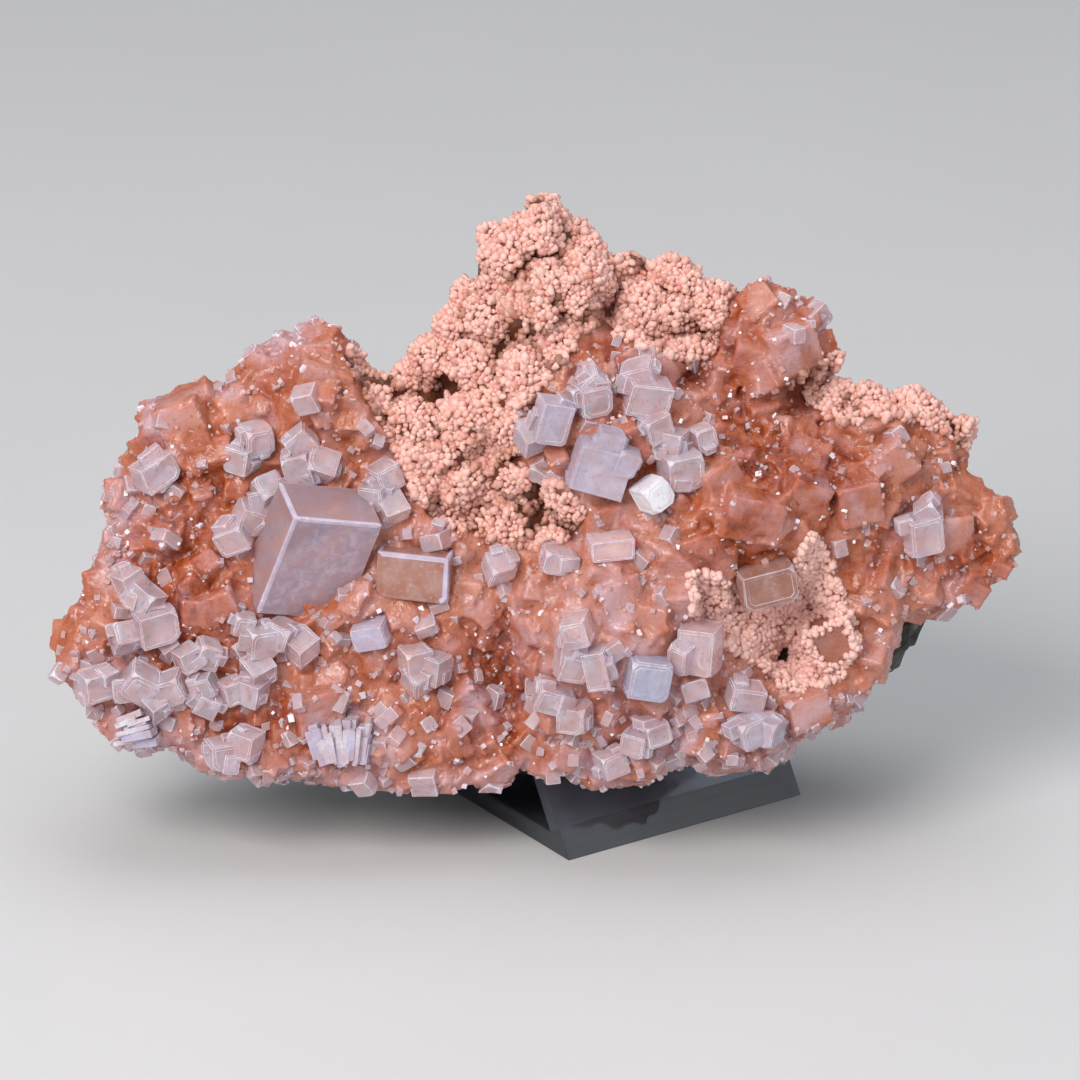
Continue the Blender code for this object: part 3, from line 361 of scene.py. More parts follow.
WAXY = (
    (-60.7, 23.6, 8.0, 8.0, 1.0), (-38.3, 27.6, 11.0, 12.0, 1.0),
    (19.0, 20.0, 9.0, 18.0, 0.6), (10.3, -10.3, 17.0, 13.0, 1.0),
    (-22.0, -1.7, 9.0, 8.0, 0.8), (-27.6, -13.8, 8.0, 6.0, 0.5),
    (33.0, 1.0, 10.0, 9.0, 0.9), (38.0, 39.7, 9.0, 8.0, 0.7),
)
# Fans of blades: middle a, b, half widths, the point they spread from, blades a turn, height.
FANS = (
    (-36.0, 28.0, 11.0, 12.0, -43.0, 42.0, 70.0, 0.7),
    (-9.5, -27.0, 4.0, 6.0, -10.0, 8.0, 190.0, 0.9),
    (16.0, 34.0, 6.0, 5.0, 24.0, 48.0, 60.0, 0.4),
)


# ---------------------------------------------------------------- frame of the face
def face_to_world():
    """Matrix from the face of the stone to the world."""
    tilt = Matrix((
        (1.0, 0.0, 0.0, 0.0),
        (0.0, math.sin(LEAN), -math.cos(LEAN), 0.0),
        (0.0, math.cos(LEAN), math.sin(LEAN), 0.0),
        (0.0, 0.0, 0.0, 1.0),
    ))
    return Matrix.Translation(FACE_MIDDLE) @ tilt @ Matrix.Scale(MM, 4)


TO_WORLD = np.array(face_to_world())


def on_face(points):
    """World places of points of the face, none lower than the top of the stand."""
    placed = points @ TO_WORLD[:3, :3].T + TO_WORLD[:3, 3]
    placed[:, 2] = np.maximum(placed[:, 2], REST_HEIGHT)
    return placed


def reach(angle, ring):
    """Distance from the middle of the face to a ring of corners along a direction."""
    ray = Vector((math.cos(angle), math.sin(angle)))
    best = 0.0
    for index, corner in enumerate(ring):
        start = Vector(corner)
        side = Vector(ring[(index + 1) % len(ring)]) - start
        across = ray.x * side.y - ray.y * side.x
        if abs(across) < 1e-9:
            continue
        along = (start.x * side.y - start.y * side.x) / across
        share = (start.x * ray.y - start.y * ray.x) / across
        if along > 0.0 and -1e-6 <= share <= 1.0 + 1e-6:
            best = max(best, along)
    return best


REACH_STEPS = 1440
REACH = np.array([reach(2.0 * math.pi * step / REACH_STEPS - math.pi, OUTLINE)
                  for step in range(REACH_STEPS + 1)])


def reaches(a, b):
    """Distance from the middle of the face to the outline, towards each point."""
    turn = (np.arctan2(b, a) + math.pi) / (2.0 * math.pi) * REACH_STEPS
    return np.interp(turn, np.arange(REACH_STEPS + 1), REACH)


def hills(a, b, table):
    """Sum of a table of rounded rises and hollows at points of the face."""
    total = np.zeros_like(a)
    for middle_a, middle_b, half_a, half_b, rise in table:
        square = ((a - middle_a) / half_a) ** 2 + ((b - middle_b) / half_b) ** 2
        total += rise * np.exp(-square)
    return total


def crust_height(a, b):
    """Smooth height of the crust over the rock."""
    return CRUST_RELIEF + hills(a, b, RELIEF)


def ring_depth(a, b, ring):
    """How far points of the face lie inside a ring of corners, negative outside it."""
    nearest = np.full_like(a, 1e9)
    crossings = np.zeros_like(a, dtype=bool)
    for (a0, b0), (a1, b1) in zip(ring, ring[1:] + ring[:1]):
        side_a, side_b = a1 - a0, b1 - b0
        share = ((a - a0) * side_a + (b - b0) * side_b) / (side_a ** 2 + side_b ** 2)
        share = np.clip(share, 0.0, 1.0)
        nearest = np.minimum(nearest, np.hypot(a - a0 - share * side_a,
                                               b - b0 - share * side_b))
        if b0 != b1:
            crossings ^= ((b0 > b) != (b1 > b)) & (a < a0 + (b - b0) * side_a / side_b)
    return np.where(crossings, nearest, -nearest)


def pinkness(a, b):
    """1 in the pink grained areas, 0 on the peach crust, with a narrow blend."""
    depth = np.max([ring_depth(a, b, ring) for ring in PINK_AREAS.values()], axis=0)
    return np.clip(0.5 + depth / 1.6, 0.0, 1.0)


# ---------------------------------------------------------------- fields of noise
def noises(points, size):
    """Smooth noise at each point, for lumps of a size."""
    return np.array([noise.noise(Vector(point)) for point in points / size])


def cells(points, size):
    """Nearest and second distance, and the nearest middle, of cells of a size."""
    found = [noise.voronoi(Vector(point)) for point in points / size]
    return (np.array([each[0][0] for each in found]),
            np.array([each[0][1] for each in found]),
            np.array([each[1][0] for each in found]))


def clumps(points):
    """Rounded clumps of the pink crust: a broad one and a finer one."""
    broad, second, _ = cells(points, 7.5)
    fine = cells(points, 3.8)[0]
    high = 4.2 * np.sqrt(np.maximum(0.0, 1.0 - (broad / 0.75) ** 2))
    high -= 1.8 * np.clip(1.0 - (second - broad) / 0.15, 0.0, 1.0)
    return high + 1.7 * np.sqrt(np.maximum(0.0, 1.0 - (fine / 0.75) ** 2)) - 4.2


def knobs(points):
    """Low waxy swellings and ledges of the peach crust."""
    first, second, _ = cells(points, 9.0)
    step = np.minimum(1.0, (second - first) * 2.4)
    return 1.5 * step + 1.2 * noises(points, 4.5) - 1.0


def facets(points, size):
    """Height of small tilted crystal faces at each point."""
    middles = cells(points, size)[2]
    tilts = np.array([noise.noise_vector(Vector(middle * 7.31)) for middle in middles])
    slope = np.einsum("pi,pi->p", points / size - middles, tilts)
    return size * (0.75 * slope + 0.22 * tilts[:, 0])


def fan_blades(points):
    """Ridges of the fans of blades."""
    a, b = points[:, 0], points[:, 1]
    total = np.zeros(len(points))
    for middle_a, middle_b, half_a, half_b, from_a, from_b, count, height in FANS:
        share = np.exp(-((a - middle_a) / half_a) ** 2 - ((b - middle_b) / half_b) ** 2)
        turn = np.arctan2(b - from_b, a - from_a) * count
        wave = turn / (2.0 * math.pi) + 0.35 * noises(points, 6.0)
        total += height * share * (1.0 - np.abs(2.0 * (wave % 1.0) - 1.0) - 0.5)
    return total


# ---------------------------------------------------------------- meshes
def new_object(name, bm):
    """Object made from a bmesh, linked to the scene."""
    mesh = bpy.data.meshes.new(name)
    bm.to_mesh(mesh)
    bm.free()
    made = bpy.data.objects.new(name, mesh)
    bpy.context.scene.collection.objects.link(made)
    return made


def apply_modifiers(target):
    """Replace the mesh of an object by its evaluated mesh."""
    graph = bpy.context.evaluated_depsgraph_get()
    evaluated = bpy.data.meshes.new_from_object(target.evaluated_get(graph))
    target.modifiers.clear()
    target.data = evaluated


def even_mesh(target, size):
    """Rebuild the surface of an object from even small cells."""
    step = target.modifiers.new("remesh", "REMESH")
    step.mode = "VOXEL"
    step.voxel_size = size
    apply_modifiers(target)


def vectors(target, what="co"):
    """Places or normals of an object's points as an array."""
    found = np.empty(len(target.data.vertices) * 3, np.float32)
    target.data.vertices.foreach_get(what, found)
    return found.reshape(-1, 3).astype(float)


def move_points(target, points):
    target.data.vertices.foreach_set("co", points.astype(np.float32).ravel())
    target.data.update()


def set_tint(target, tint):
    """Store rust with painted shade, white, pink and painted shade for each point of an object.
    """
    held = target.data.color_attributes.new("tint", "FLOAT_COLOR", "POINT")
    held.data.foreach_set("color", tint.astype(np.float32).ravel())


def finish_piece(piece, materials, nodes=(), smooth=False):
    """Give a piece its materials, body and the CAD nodes it stands for."""
    kinds = [face.material_index for face in piece.data.polygons]
    piece.data.materials.clear()
    for material in materials:
        piece.data.materials.append(material)
    piece.data.polygons.foreach_set("material_index",
                                    [min(kind, len(materials) - 1) for kind in kinds])
    piece.data.polygons.foreach_set("use_smooth", [smooth] * len(piece.data.polygons))
    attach(piece, "root")
    if nodes:
        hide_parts(*nodes)
    return piece


def tiled(name, shapes, places, tint):
    """One object of many copies of small shapes in turn, each copy with a tint of its own."""
    spots, faces, kinds, tints = [], [], [], []
    start = 0
    for index, place in enumerate(places):
        points, shape_faces, shape_kinds = shapes[index % len(shapes)]
        spots.append(points @ place[:3, :3].T + place[:3, 3])
        faces.extend([tuple(corner + start for corner in face) for face in shape_faces])
        kinds.extend(shape_kinds)
        tints.append(np.repeat(tint[index:index + 1], len(points), axis=0))
        start += len(points)
    mesh = bpy.data.meshes.new(name)
    mesh.from_pydata(on_face(np.concatenate(spots)).tolist(), [], faces)
    mesh.polygons.foreach_set("material_index", kinds)
    made = bpy.data.objects.new(name, mesh)
    bpy.context.scene.collection.objects.link(made)
    set_tint(made, np.concatenate(tints))
    return made


def shape_of(bm, small=0.2):
    """Points, faces and face kinds of a bmesh; faces under a share of the largest are 1."""
    bm.verts.ensure_lookup_table()
    bm.verts.index_update()
    largest = max(face.calc_area() for face in bm.faces)
    points = np.array([vertex.co for vertex in bm.verts])
    faces = [tuple(vertex.index for vertex in face.verts) for face in bm.faces]
    kinds = [int(face.calc_area() < small * largest) for face in bm.faces]
    bm.free()
    return points, faces, kinds


def block_shape():
    """Unit box."""
    bm = bmesh.new()
    bmesh.ops.create_cube(bm, size=1.0)
    return shape_of(bm)


def crystal_shape(chance):
    """Unit box with some corners cut off and fine bevelled edges."""
    bm = bmesh.new()
    bmesh.ops.create_cube(bm, size=1.0)
    cut = [vertex for vertex in bm.verts if chance.random() < 0.45]
    if cut:
        bmesh.ops.bevel(bm, geom=cut, offset=chance.uniform(0.16, 0.30), segments=1,
                        affect="VERTICES")
    bmesh.ops.bevel(bm, geom=bm.edges[:], offset=0.05, segments=1, affect="EDGES")
    return shape_of(bm, 0.09)


def grain_shape(chance):
    """Rounded, slightly square and uneven grain."""
    bm = bmesh.new()
    bmesh.ops.create_icosphere(bm, subdivisions=2, radius=1.0)
    shift = Vector([chance.uniform(-50.0, 50.0) for _ in range(3)])
    for vertex in bm.verts:
        size = sum(abs(part) ** 3.2 for part in vertex.co) ** (1.0 / 3.2)
        vertex.co *= (1.0 + 0.42 * noise.noise(vertex.co * 1.4 + shift)) / size
    points, faces, _ = shape_of(bm)
    return points, faces, [0] * len(faces)


# ---------------------------------------------------------------- crystals
def box_axes(entry):
    """Turned axes of one row of a crystal table, as columns."""
    turn, tip, roll = (math.radians(angle) for angle in entry[6:9])
    return Euler((tip, roll, turn), "XYZ").to_matrix()


def box_middle(entry):
    a, b, over = entry[:3]
    height = crust_height(np.array([a]), np.array([b]))[0]
    return Vector((a, b, height + over))


def large_box():
    """Middle, axes and sides of the large crystal, from its nearest corner and three edges."""
    first, second, third = (Vector(edge) for edge in LARGE_EDGES)
    one = -first.dot(second)
    two = -first.dot(third)
    three = -second.dot(third)
    fall_first = math.sqrt(one * two / three)
    falls = (fall_first, one / fall_first, two / fall_first)
    edges = [Vector((flat.x, flat.y, -fall))
             for flat, fall in zip((first, second, third), falls)]
    columns = [edge.normalized() for edge in edges]
    axes = Matrix(columns).transposed()
    if axes.determinant() < 0.0:
        axes = Matrix([-columns[0], columns[1], columns[2]]).transposed()
    middle = Vector(LARGE_CORNER) + 0.5 * sum(edges, Vector())
    return middle, axes, [edge.length for edge in edges]


# Crystals of the table that are grown into the crust's own skin.
FUSED = ("peach_crystal_beside_pocket",)


def all_boxes():
    """Middle, axes and half sides of every loose-standing crystal."""
    middle, axes, sides = large_box()
    boxes = [(middle, axes, Vector(sides) * 0.5)]
    for name, entries in CRYSTALS.items():
        for entry in () if name in FUSED else entries:
            boxes.append((box_middle(entry), box_axes(entry), Vector(entry[3:6]) * 0.5))
    return boxes


BOXES = all_boxes()


def depth_in_boxes(points):
    """How deep points lie inside the nearest crystal, negative outside all of them."""
    deepest = np.full(len(points), -1e9)
    for middle, axes, half in BOXES:
        local = (points - np.array(middle)) @ np.array(axes)
        deepest = np.maximum(deepest, np.min(np.array(half) - np.abs(local), axis=1))
    return deepest


# ---------------------------------------------------------------- materials
class Shades:
    """Node material that is put together step by step round one Principled shader."""

    def __init__(self, name):
        self.material = bpy.data.materials.new(name)
        self.material.use_nodes = True
        self.tree = self.material.node_tree
        self.shader = self.tree.nodes["Principled BSDF"]
        self.output = self.tree.nodes["Material Output"]
        place = self.tree.nodes.new("ShaderNodeTexCoord")
        self.place = place.outputs["Object"]
        self.tint = None

    def link(self, start, end):
        self.tree.links.new(start, end)

    def set(self, **values):
        """Constants of the shader's sockets, named with _ for spaces."""
        for name, value in values.items():
            self.shader.inputs[name.replace("_", " ")].default_value = value

    def noise(self, millimetres, detail=3.0, rough=0.55, twist=0.0):
        """Noise from 0 to 1 with lumps of about a size."""
        node = self.tree.nodes.new("ShaderNodeTexNoise")
        node.inputs["Scale"].default_value = 1.0 / (millimetres * MM)
        node.inputs["Detail"].default_value = detail
        node.inputs["Roughness"].default_value = rough
        node.inputs["Distortion"].default_value = twist
        self.link(self.place, node.inputs["Vector"])
        return node.outputs["Fac"]

    def cells(self, millimetres):
        """Distance in cells of about a size."""
        node = self.tree.nodes.new("ShaderNodeTexVoronoi")
        node.inputs["Scale"].default_value = 1.0 / (millimetres * MM)
        self.link(self.place, node.inputs["Vector"])
        return node.outputs["Distance"]

    def ramp(self, factor, low, high, start=0.0, end=1.0):
        """Factor stretched so that low gives start and high gives end."""
        node = self.tree.nodes.new("ShaderNodeMapRange")
        node.inputs["From Min"].default_value = low
        node.inputs["From Max"].default_value = high
        node.inputs["To Min"].default_value = start
        node.inputs["To Max"].default_value = end
        self.link(factor, node.inputs["Value"])
        return node.outputs["Result"]

    def math(self, operation, first, second):
        node = self.tree.nodes.new("ShaderNodeMath")
        node.operation = operation
        for socket, value in zip(node.inputs, (first, second)):
            if isinstance(value, (int, float)):
                socket.default_value = value
            else:
                self.link(value, socket)
        return node.outputs["Value"]

    def mix(self, factor, first, second, blend="MIX"):
        """Colour mix; a colour is a socket or three numbers."""
        node = self.tree.nodes.new("ShaderNodeMix")
        node.data_type = "RGBA"
        node.blend_type = blend
        sockets = (node.inputs["Factor"], node.inputs[6], node.inputs[7])
        for socket, value in zip(sockets, (factor, first, second)):
            if isinstance(value, (int, float)):
                socket.default_value = value
            elif isinstance(value, tuple):
                socket.default_value = (*value, 1.0)
            else:
                self.link(value, socket)
        return node.outputs[2]

    def tint_part(self, part):
        """Rust with painted shade, White, Pink or painted Shade of the mesh."""
        if self.tint is None:
            held = self.tree.nodes.new("ShaderNodeAttribute")
            held.attribute_name = "tint"
            split = self.tree.nodes.new("ShaderNodeSeparateColor")
            self.link(held.outputs["Color"], split.inputs["Color"])
            self.tint = {"rust_and_shade": split.outputs[0], "white": split.outputs[1],
                         "pink": split.outputs[2], "shade": held.outputs["Alpha"]}
        return self.tint[part]

    def bump(self, height, distance, strength=1.0):
        """Relief of a height from 0 to 1, its depth in millimetres."""
        node = self.tree.nodes.new("ShaderNodeBump")
        node.inputs["Strength"].default_value = strength
        node.inputs["Distance"].default_value = distance * MM
        self.link(height, node.inputs["Height"])
        self.link(node.outputs["Normal"], self.shader.inputs["Normal"])

    def absorb(self, colour, density):
        """Even absorption inside the body."""
        node = self.tree.nodes.new("ShaderNodeVolumeAbsorption")
        node.inputs["Color"].default_value = (*colour, 1.0)
        node.inputs["Density"].default_value = density
        self.link(node.outputs["Volume"], self.output.inputs["Volume"])


PEACH = (0.46, 0.135, 0.060)
PALE_PEACH = (0.56, 0.225, 0.145)
# dark rust, also the painted shade of pits and crevices on the peach crust
RUST_RED = (0.36, 0.065, 0.010)
DEEP_RUST_AND_SHADE = (0.17, 0.024, 0.005)
LILAC_WHITE = (0.62, 0.47, 0.56)
PINK = (0.66, 0.27, 0.21)
PINK_TIP = (0.88, 0.56, 0.49)
# dark ground between the pink grains: painted shade between the grains
PINK_GROUND_SHADE = (0.20, 0.055, 0.025)
# painted shade of pits and crevices in the pink areas
SHADE_BROWN = (0.12, 0.035, 0.015)
FLAW = (0.75, 0.48, 0.42)
# painted light: pale peach for the crust seen under the crystals
PAINTED_LIGHT_IN_CRYSTAL = (1.0, 0.66, 0.55)


def crust_colour(look):
    """Colour of the peach crust and its blocks, from the tint and noise."""
    colour = look.mix(look.ramp(look.noise(9.0, 2.0), 0.40, 0.62), PEACH, PALE_PEACH)
    mottle = look.ramp(look.noise(1.3, 2.0, 0.65), 0.40, 0.66)
    colour = look.mix(look.math("MULTIPLY", mottle, 0.45), colour, PALE_PEACH)
    stain = look.ramp(look.noise(3.2, 3.0, 0.65, 0.4), 0.38, 0.70)
    # the rust channel holds rust and painted shade; its high values go to dark rust
    rust_and_shade = look.math("MULTIPLY", look.tint_part("rust_and_shade"), look.math("ADD", stain, 0.45))
    colour = look.mix(look.ramp(rust_and_shade, 0.05, 0.85), colour, RUST_RED)
    colour = look.mix(look.ramp(rust_and_shade, 0.75, 1.3), colour, DEEP_RUST_AND_SHADE)
    specks = look.ramp(look.noise(0.9, 1.0, 0.5), 0.66, 0.72)
    colour = look.mix(look.math("MULTIPLY", specks, 0.7), colour, RUST_RED)
    cloud = look.ramp(look.noise(4.5, 2.0, 0.6), 0.30, 0.62)
    white = look.math("MULTIPLY", look.tint_part("white"), cloud)
    return look.mix(look.ramp(white, 0.0, 1.0, 0.0, 0.8), colour, LILAC_WHITE)


def crust_material():
    look = Shades("druse_crust")
    colour = crust_colour(look)
    # in the pink areas the ground is painted dark, as painted shade between the grains
    colour = look.mix(look.tint_part("pink"), colour, PINK_GROUND_SHADE)
    # painted light: the crust under the crystals is painted pale peach
    held = look.tree.nodes.new("ShaderNodeAttribute")
    held.attribute_name = "painted_light_under_crystal"
    veins = look.ramp(look.noise(2.0, 1.5), 0.55, 0.72, 0.0, 0.7)
    seen = look.mix(veins, PAINTED_LIGHT_IN_CRYSTAL, PALE_PEACH)
    colour = look.mix(held.outputs["Fac"], colour, seen)
    # painted shade in pits and in the low places between clumps: dark rust on the peach crust,
    # brown in the pink areas
    shade = look.tint_part("shade")
    dark = look.mix(look.tint_part("pink"), DEEP_RUST_AND_SHADE, SHADE_BROWN)
    look.link(look.mix(shade, colour, dark), look.shader.inputs["Base Color"])
    look.link(look.ramp(look.noise(1.1, 2.0), 0.35, 0.65, 0.14, 0.48),
              look.shader.inputs["Roughness"])
    look.set(IOR=1.53, Subsurface_Weight=0.4, Subsurface_Radius=(1.0, 0.42, 0.26),
             Subsurface_Scale=3.0 * MM)
    look.bump(look.noise(1.2, 2.0, 0.6), 0.42, 0.6)
    return look.material


def clear_material(name, clear, tint, milk, transmission, rough, index=1.3):
    """Clear to milky crystal: two body colours, how much light passes, and its roughness."""
    look = Shades(name)
    veil = look.ramp(look.noise(2.4, 3.0, 0.65, 0.8), 0.42, 0.62)
    colour = look.mix(veil, clear, milk)
    colour = look.mix(look.ramp(look.noise(3.6, 1.5, 0.6), 0.45, 0.62, 0.0, 0.8), colour,
                      tint)
    flaws = look.ramp(look.noise(0.8, 1.0, 0.6), 0.62, 0.70, 0.0, 0.6)
    colour = look.mix(flaws, colour, FLAW)
    look.link(colour, look.shader.inputs["Base Color"])
    look.link(look.ramp(look.noise(1.8, 1.0), 0.3, 0.75, rough[0], rough[1]),
              look.shader.inputs["Roughness"])
    look.set(IOR=index, Transmission_Weight=transmission)
    look.bump(look.noise(1.4, 1.5, 0.55), 0.10, 0.6)
    return look.material


def glint_material():
    look = Shades("glinting_crumbs")
    # crumbs with a high white tint are painted near white: painted glints
    colour = look.mix(look.ramp(look.tint_part("white"), 0.3, 1.0, 0.2, 1.0),
                      crust_colour(look), (0.92, 0.88, 0.95))
    look.link(colour, look.shader.inputs["Base Color"])
    look.link(look.ramp(look.noise(1.5), 0.3, 0.7, 0.05, 0.2), look.shader.inputs["Roughness"])
    look.set(IOR=1.7)
    return look.material


def grain_material():
    look = Shades("pink_grains")
    fleck = look.ramp(look.noise(2.2, 1.5), 0.35, 0.65)
    colour = look.mix(fleck, PINK, PINK_TIP)
    # pale grains from the white tint; painted shade towards brown from the shade tint
    colour = look.mix(look.ramp(look.tint_part("white"), 0.0, 1.0), colour, PINK_TIP)
    colour = look.mix(look.tint_part("rust_and_shade"), colour, (0.62, 0.26, 0.14))
    colour = look.mix(look.tint_part("shade"), colour, SHADE_BROWN)
    look.link(colour, look.shader.inputs["Base Color"])
    look.link(look.ramp(look.noise(0.9), 0.3, 0.7, 0.42, 0.62), look.shader.inputs["Roughness"])
    look.set(IOR=1.5)
    look.bump(look.noise(0.45, 1.0, 0.6), 0.10, 0.6)
    return look.material


def basalt_material():
    look = Shades("basalt")
    patch = look.ramp(look.noise(9.0, 5.0, 0.6), 0.38, 0.66)
    colour = look.mix(patch, (0.045, 0.052, 0.046), (0.10, 0.115, 0.095))
    grain = look.ramp(look.noise(0.9, 4.0, 0.7), 0.35, 0.75)
    colour = look.mix(grain, colour, (0.030, 0.036, 0.032), "MULTIPLY")
    colour = look.mix(look.ramp(grain, 0.2, 0.9, 0.2, 0.85), colour, (0.12, 0.13, 0.115))
    crumbs = look.ramp(look.cells(5.0), 0.10, 0.20, 1.0, 0.0)
    colour = look.mix(look.math("MULTIPLY", crumbs, 0.6), colour, (0.34, 0.30, 0.26))
    look.link(colour, look.shader.inputs["Base Color"])
    look.link(look.ramp(grain, 0.0, 1.0, 0.72, 0.95), look.shader.inputs["Roughness"])
    rough = look.math("ADD", look.noise(1.4, 6.0, 0.7), look.noise(5.0, 3.0))
    look.bump(rough, 0.8, 0.8)
    return look.material


def acrylic_material():
    look = Shades("smoked_clear_acrylic")
    haze = look.ramp(look.noise(14.0, 3.0), 0.3, 0.7)
    colour = look.mix(haze, (0.50, 0.55, 0.66), (0.58, 0.63, 0.74))
    look.link(colour, look.shader.inputs["Base Color"])
    look.link(look.ramp(look.noise(2.5, 5.0), 0.35, 0.75, 0.02, 0.09),
              look.shader.inputs["Roughness"])
    look.set(IOR=1.49, Transmission_Weight=0.92)
    look.absorb((0.45, 0.52, 0.62), 60.0)
    return look.material


def floor_material():
    look = Shades("pale_floor")
    colour = look.mix(look.noise(120.0, 3.0), (0.61, 0.605, 0.60), (0.66, 0.655, 0.65))
    look.link(colour, look.shader.inputs["Base Color"])
    look.link(look.ramp(look.noise(4.0, 4.0), 0.3, 0.7, 0.5, 0.62),
              look.shader.inputs["Roughness"])
    return look.material


CRUST = crust_material()
CLEAR = clear_material("colourless_crystal", (0.99, 0.86, 0.96), (0.98, 0.72, 0.72),
                       (1.0, 0.94, 1.0), 0.66, (0.02, 0.08), 1.24)
FROST = clear_material("frosted_crystal_edge", (0.78, 0.68, 0.78), (0.76, 0.58, 0.64),
                       (0.95, 0.92, 0.98), 0.34, (0.15, 0.4))
SATIN = clear_material("satin_crystal", (0.74, 0.64, 0.78), (0.74, 0.58, 0.62),
                       (0.82, 0.76, 0.90), 0.45, (0.06, 0.22))
FRONT = clear_material("large_crystal_front", (0.50, 0.41, 0.52), (0.55, 0.39, 0.43),
                       (0.64, 0.57, 0.69), 0.42, (0.06, 0.20))
SLAB = clear_material("peach_slab", (0.52, 0.28, 0.22), (0.48, 0.22, 0.16),
                      (0.58, 0.37, 0.34), 0.34, (0.06, 0.3))
SIDE = clear_material("large_crystal_side", (0.57, 0.42, 0.46), (0.62, 0.39, 0.37),
                      (0.56, 0.47, 0.55), 0.56, (0.05, 0.18))
BAND = clear_material("frosted_band", (0.60, 0.53, 0.68), (0.57, 0.49, 0.61),
                      (0.70, 0.64, 0.78), 0.15, (0.25, 0.45))
MILKY = clear_material("milky_crystal", (0.64, 0.58, 0.76), (0.62, 0.51, 0.64),
                       (0.76, 0.71, 0.90), 0.34, (0.12, 0.36))
BLUISH = clear_material("bluish_crystal", (0.51, 0.53, 0.70), (0.56, 0.52, 0.67),
                        (0.64, 0.66, 0.82), 0.34, (0.10, 0.30))
# near-white body of the white rhomb: a painted reflection on its face
PAINTED_REFLECTION_WHITE = clear_material("painted_reflection_white_crystal", (0.86, 0.84, 0.88), (0.78, 0.73, 0.82),
                        (0.90, 0.89, 0.93), 0.08, (0.12, 0.3))
GLINT = glint_material()
GRAIN = grain_material()
BASALT = basalt_material()
ACRYLIC = acrylic_material()
FLOOR = floor_material()

# ---------------------------------------------------------------- crust
SKIN_CELL = 0.7  # remesh cells of the ground, and of the ground with its blocks, in mm
FUSED_CELL = 0.42
SKIN_TRIANGLES = 190000
PINK_SINK = 0.9  # how far the ground lies under the pink grains and under the blocks
BLOCK_SINK = 0.7
LIP_HEIGHT = 4.5  # the lowest part of the crust, which bulges back over the rock
MOST_GRAINS = 2400  # a pink area with more grains than this becomes two pieces
BLOCKS = 1500
CRUMBS = 1900
SMALL_CRYSTALS = 520
CRYSTAL_SHAPES = 7
GRAIN_SHAPES = 5
POCKET = "pink_crust_pocket"


def crust_tint(points, depth=0.0, crevice_shade=0.0):
    """Rust, white, pink and shade at points of the crust; deeper ones get more rust and painted
    shade.
    """
    a, b = points[:, 0], points[:, 1]
    rim = np.hypot(a, b) / reaches(a, b)
    rust_and_shade = np.clip(hills(a, b, RUST_AND_SHADE), 0.0, 1.2)
    white = np.clip(hills(a, b, WHITE), 0.0, 1.0)
    pale = np.clip(hills(a, b, PALE), 0.0, 1.0)
    low_rim = np.clip((rim - 0.88) / 0.08, 0.0, 1.0) * np.clip((-18.0 - b) / 8.0, 0.0, 1.0)
    white = np.maximum(white, 0.55 * low_rim)
    rust_and_shade = 1.4 * rust_and_shade * (1.0 - 0.7 * white) + 0.12 - 0.4 * pale
    # deeper points get more rust and painted shade, raised points less rust and more white
    rust_and_shade += 0.42 * np.clip(depth, -0.6, 1.6)
    white += 0.22 * pale - 0.25 * np.clip(depth, -1.2, 0.0)
    pink = pinkness(a, b)
    # painted shade in the pits, mostly outside the pink areas
    pit_shade = np.clip(-hills(a, b, PITS) / 3.0, 0.0, 1.0) * (1.0 - 0.8 * pink)
    tint = np.stack([rust_and_shade, white, pink, pit_shade + crevice_shade], axis=1)
    return np.clip(tint, 0.0, 1.0)


def base_skin():
    """Ground of the whole crust, under its blocks and grains."""
    bm = bmesh.new()
    bmesh.ops.create_icosphere(bm, subdivisions=7, radius=1.0)
    ball = np.array([vertex.co for vertex in bm.verts])
    flat = np.hypot(ball[:, 0], ball[:, 1])
    up = ball[:, 2]
    turn = np.arctan2(ball[:, 1], ball[:, 0])
    edge = reaches(np.cos(turn), np.sin(turn))
    spread = edge * np.where(up >= 0.0, flat ** 0.55, flat ** 0.25)
    a, b = spread * np.cos(turn), spread * np.sin(turn)
    height = crust_height(a, b)
    rim = np.minimum(RIM_HEIGHT, 0.6 * height)
    lift = np.maximum(up, 0.0) ** 0.55
    c = np.where(up >= 0.0, rim + (height - rim) * lift, rim + 22.0 * up)
    for vertex, place in zip(bm.verts, np.stack([a, b, c], axis=1)):
        vertex.co = place
    skin = new_object("druse_crust", bm)
    even_mesh(skin, SKIN_CELL)
    cut_level(skin, CRUST_BACK - 1.0)

    points, normals = vectors(skin), vectors(skin, "normal")
    a, b = points[:, 0], points[:, 1]
    pink = pinkness(a, b)
    waxy = np.clip(hills(a, b, WAXY), 0.0, 1.0)
    rise = facets(points, 3.4)
    fine = facets(points, 1.8)
    rough = (rise + 0.5 * fine) * (1.0 - 0.8 * waxy)
    peach = knobs(points) - BLOCK_SINK * (1.0 - waxy) + 0.5 * rough + fan_blades(points)
    lumps = clumps(points)
    relief = (1.0 - pink) * peach + pink * (lumps - PINK_SINK)
    fade = np.clip(points[:, 2] / 3.0, 0.0, 1.0)
    points += normals * (relief * fade)[:, None]
    points[:, 2] += hills(a, b, PITS) * np.maximum(0.0, normals[:, 2])
    points[:, 2] = np.maximum(points[:, 2], CRUST_BACK)
    move_points(skin, points)
    return skin, points, vectors(skin, "normal")


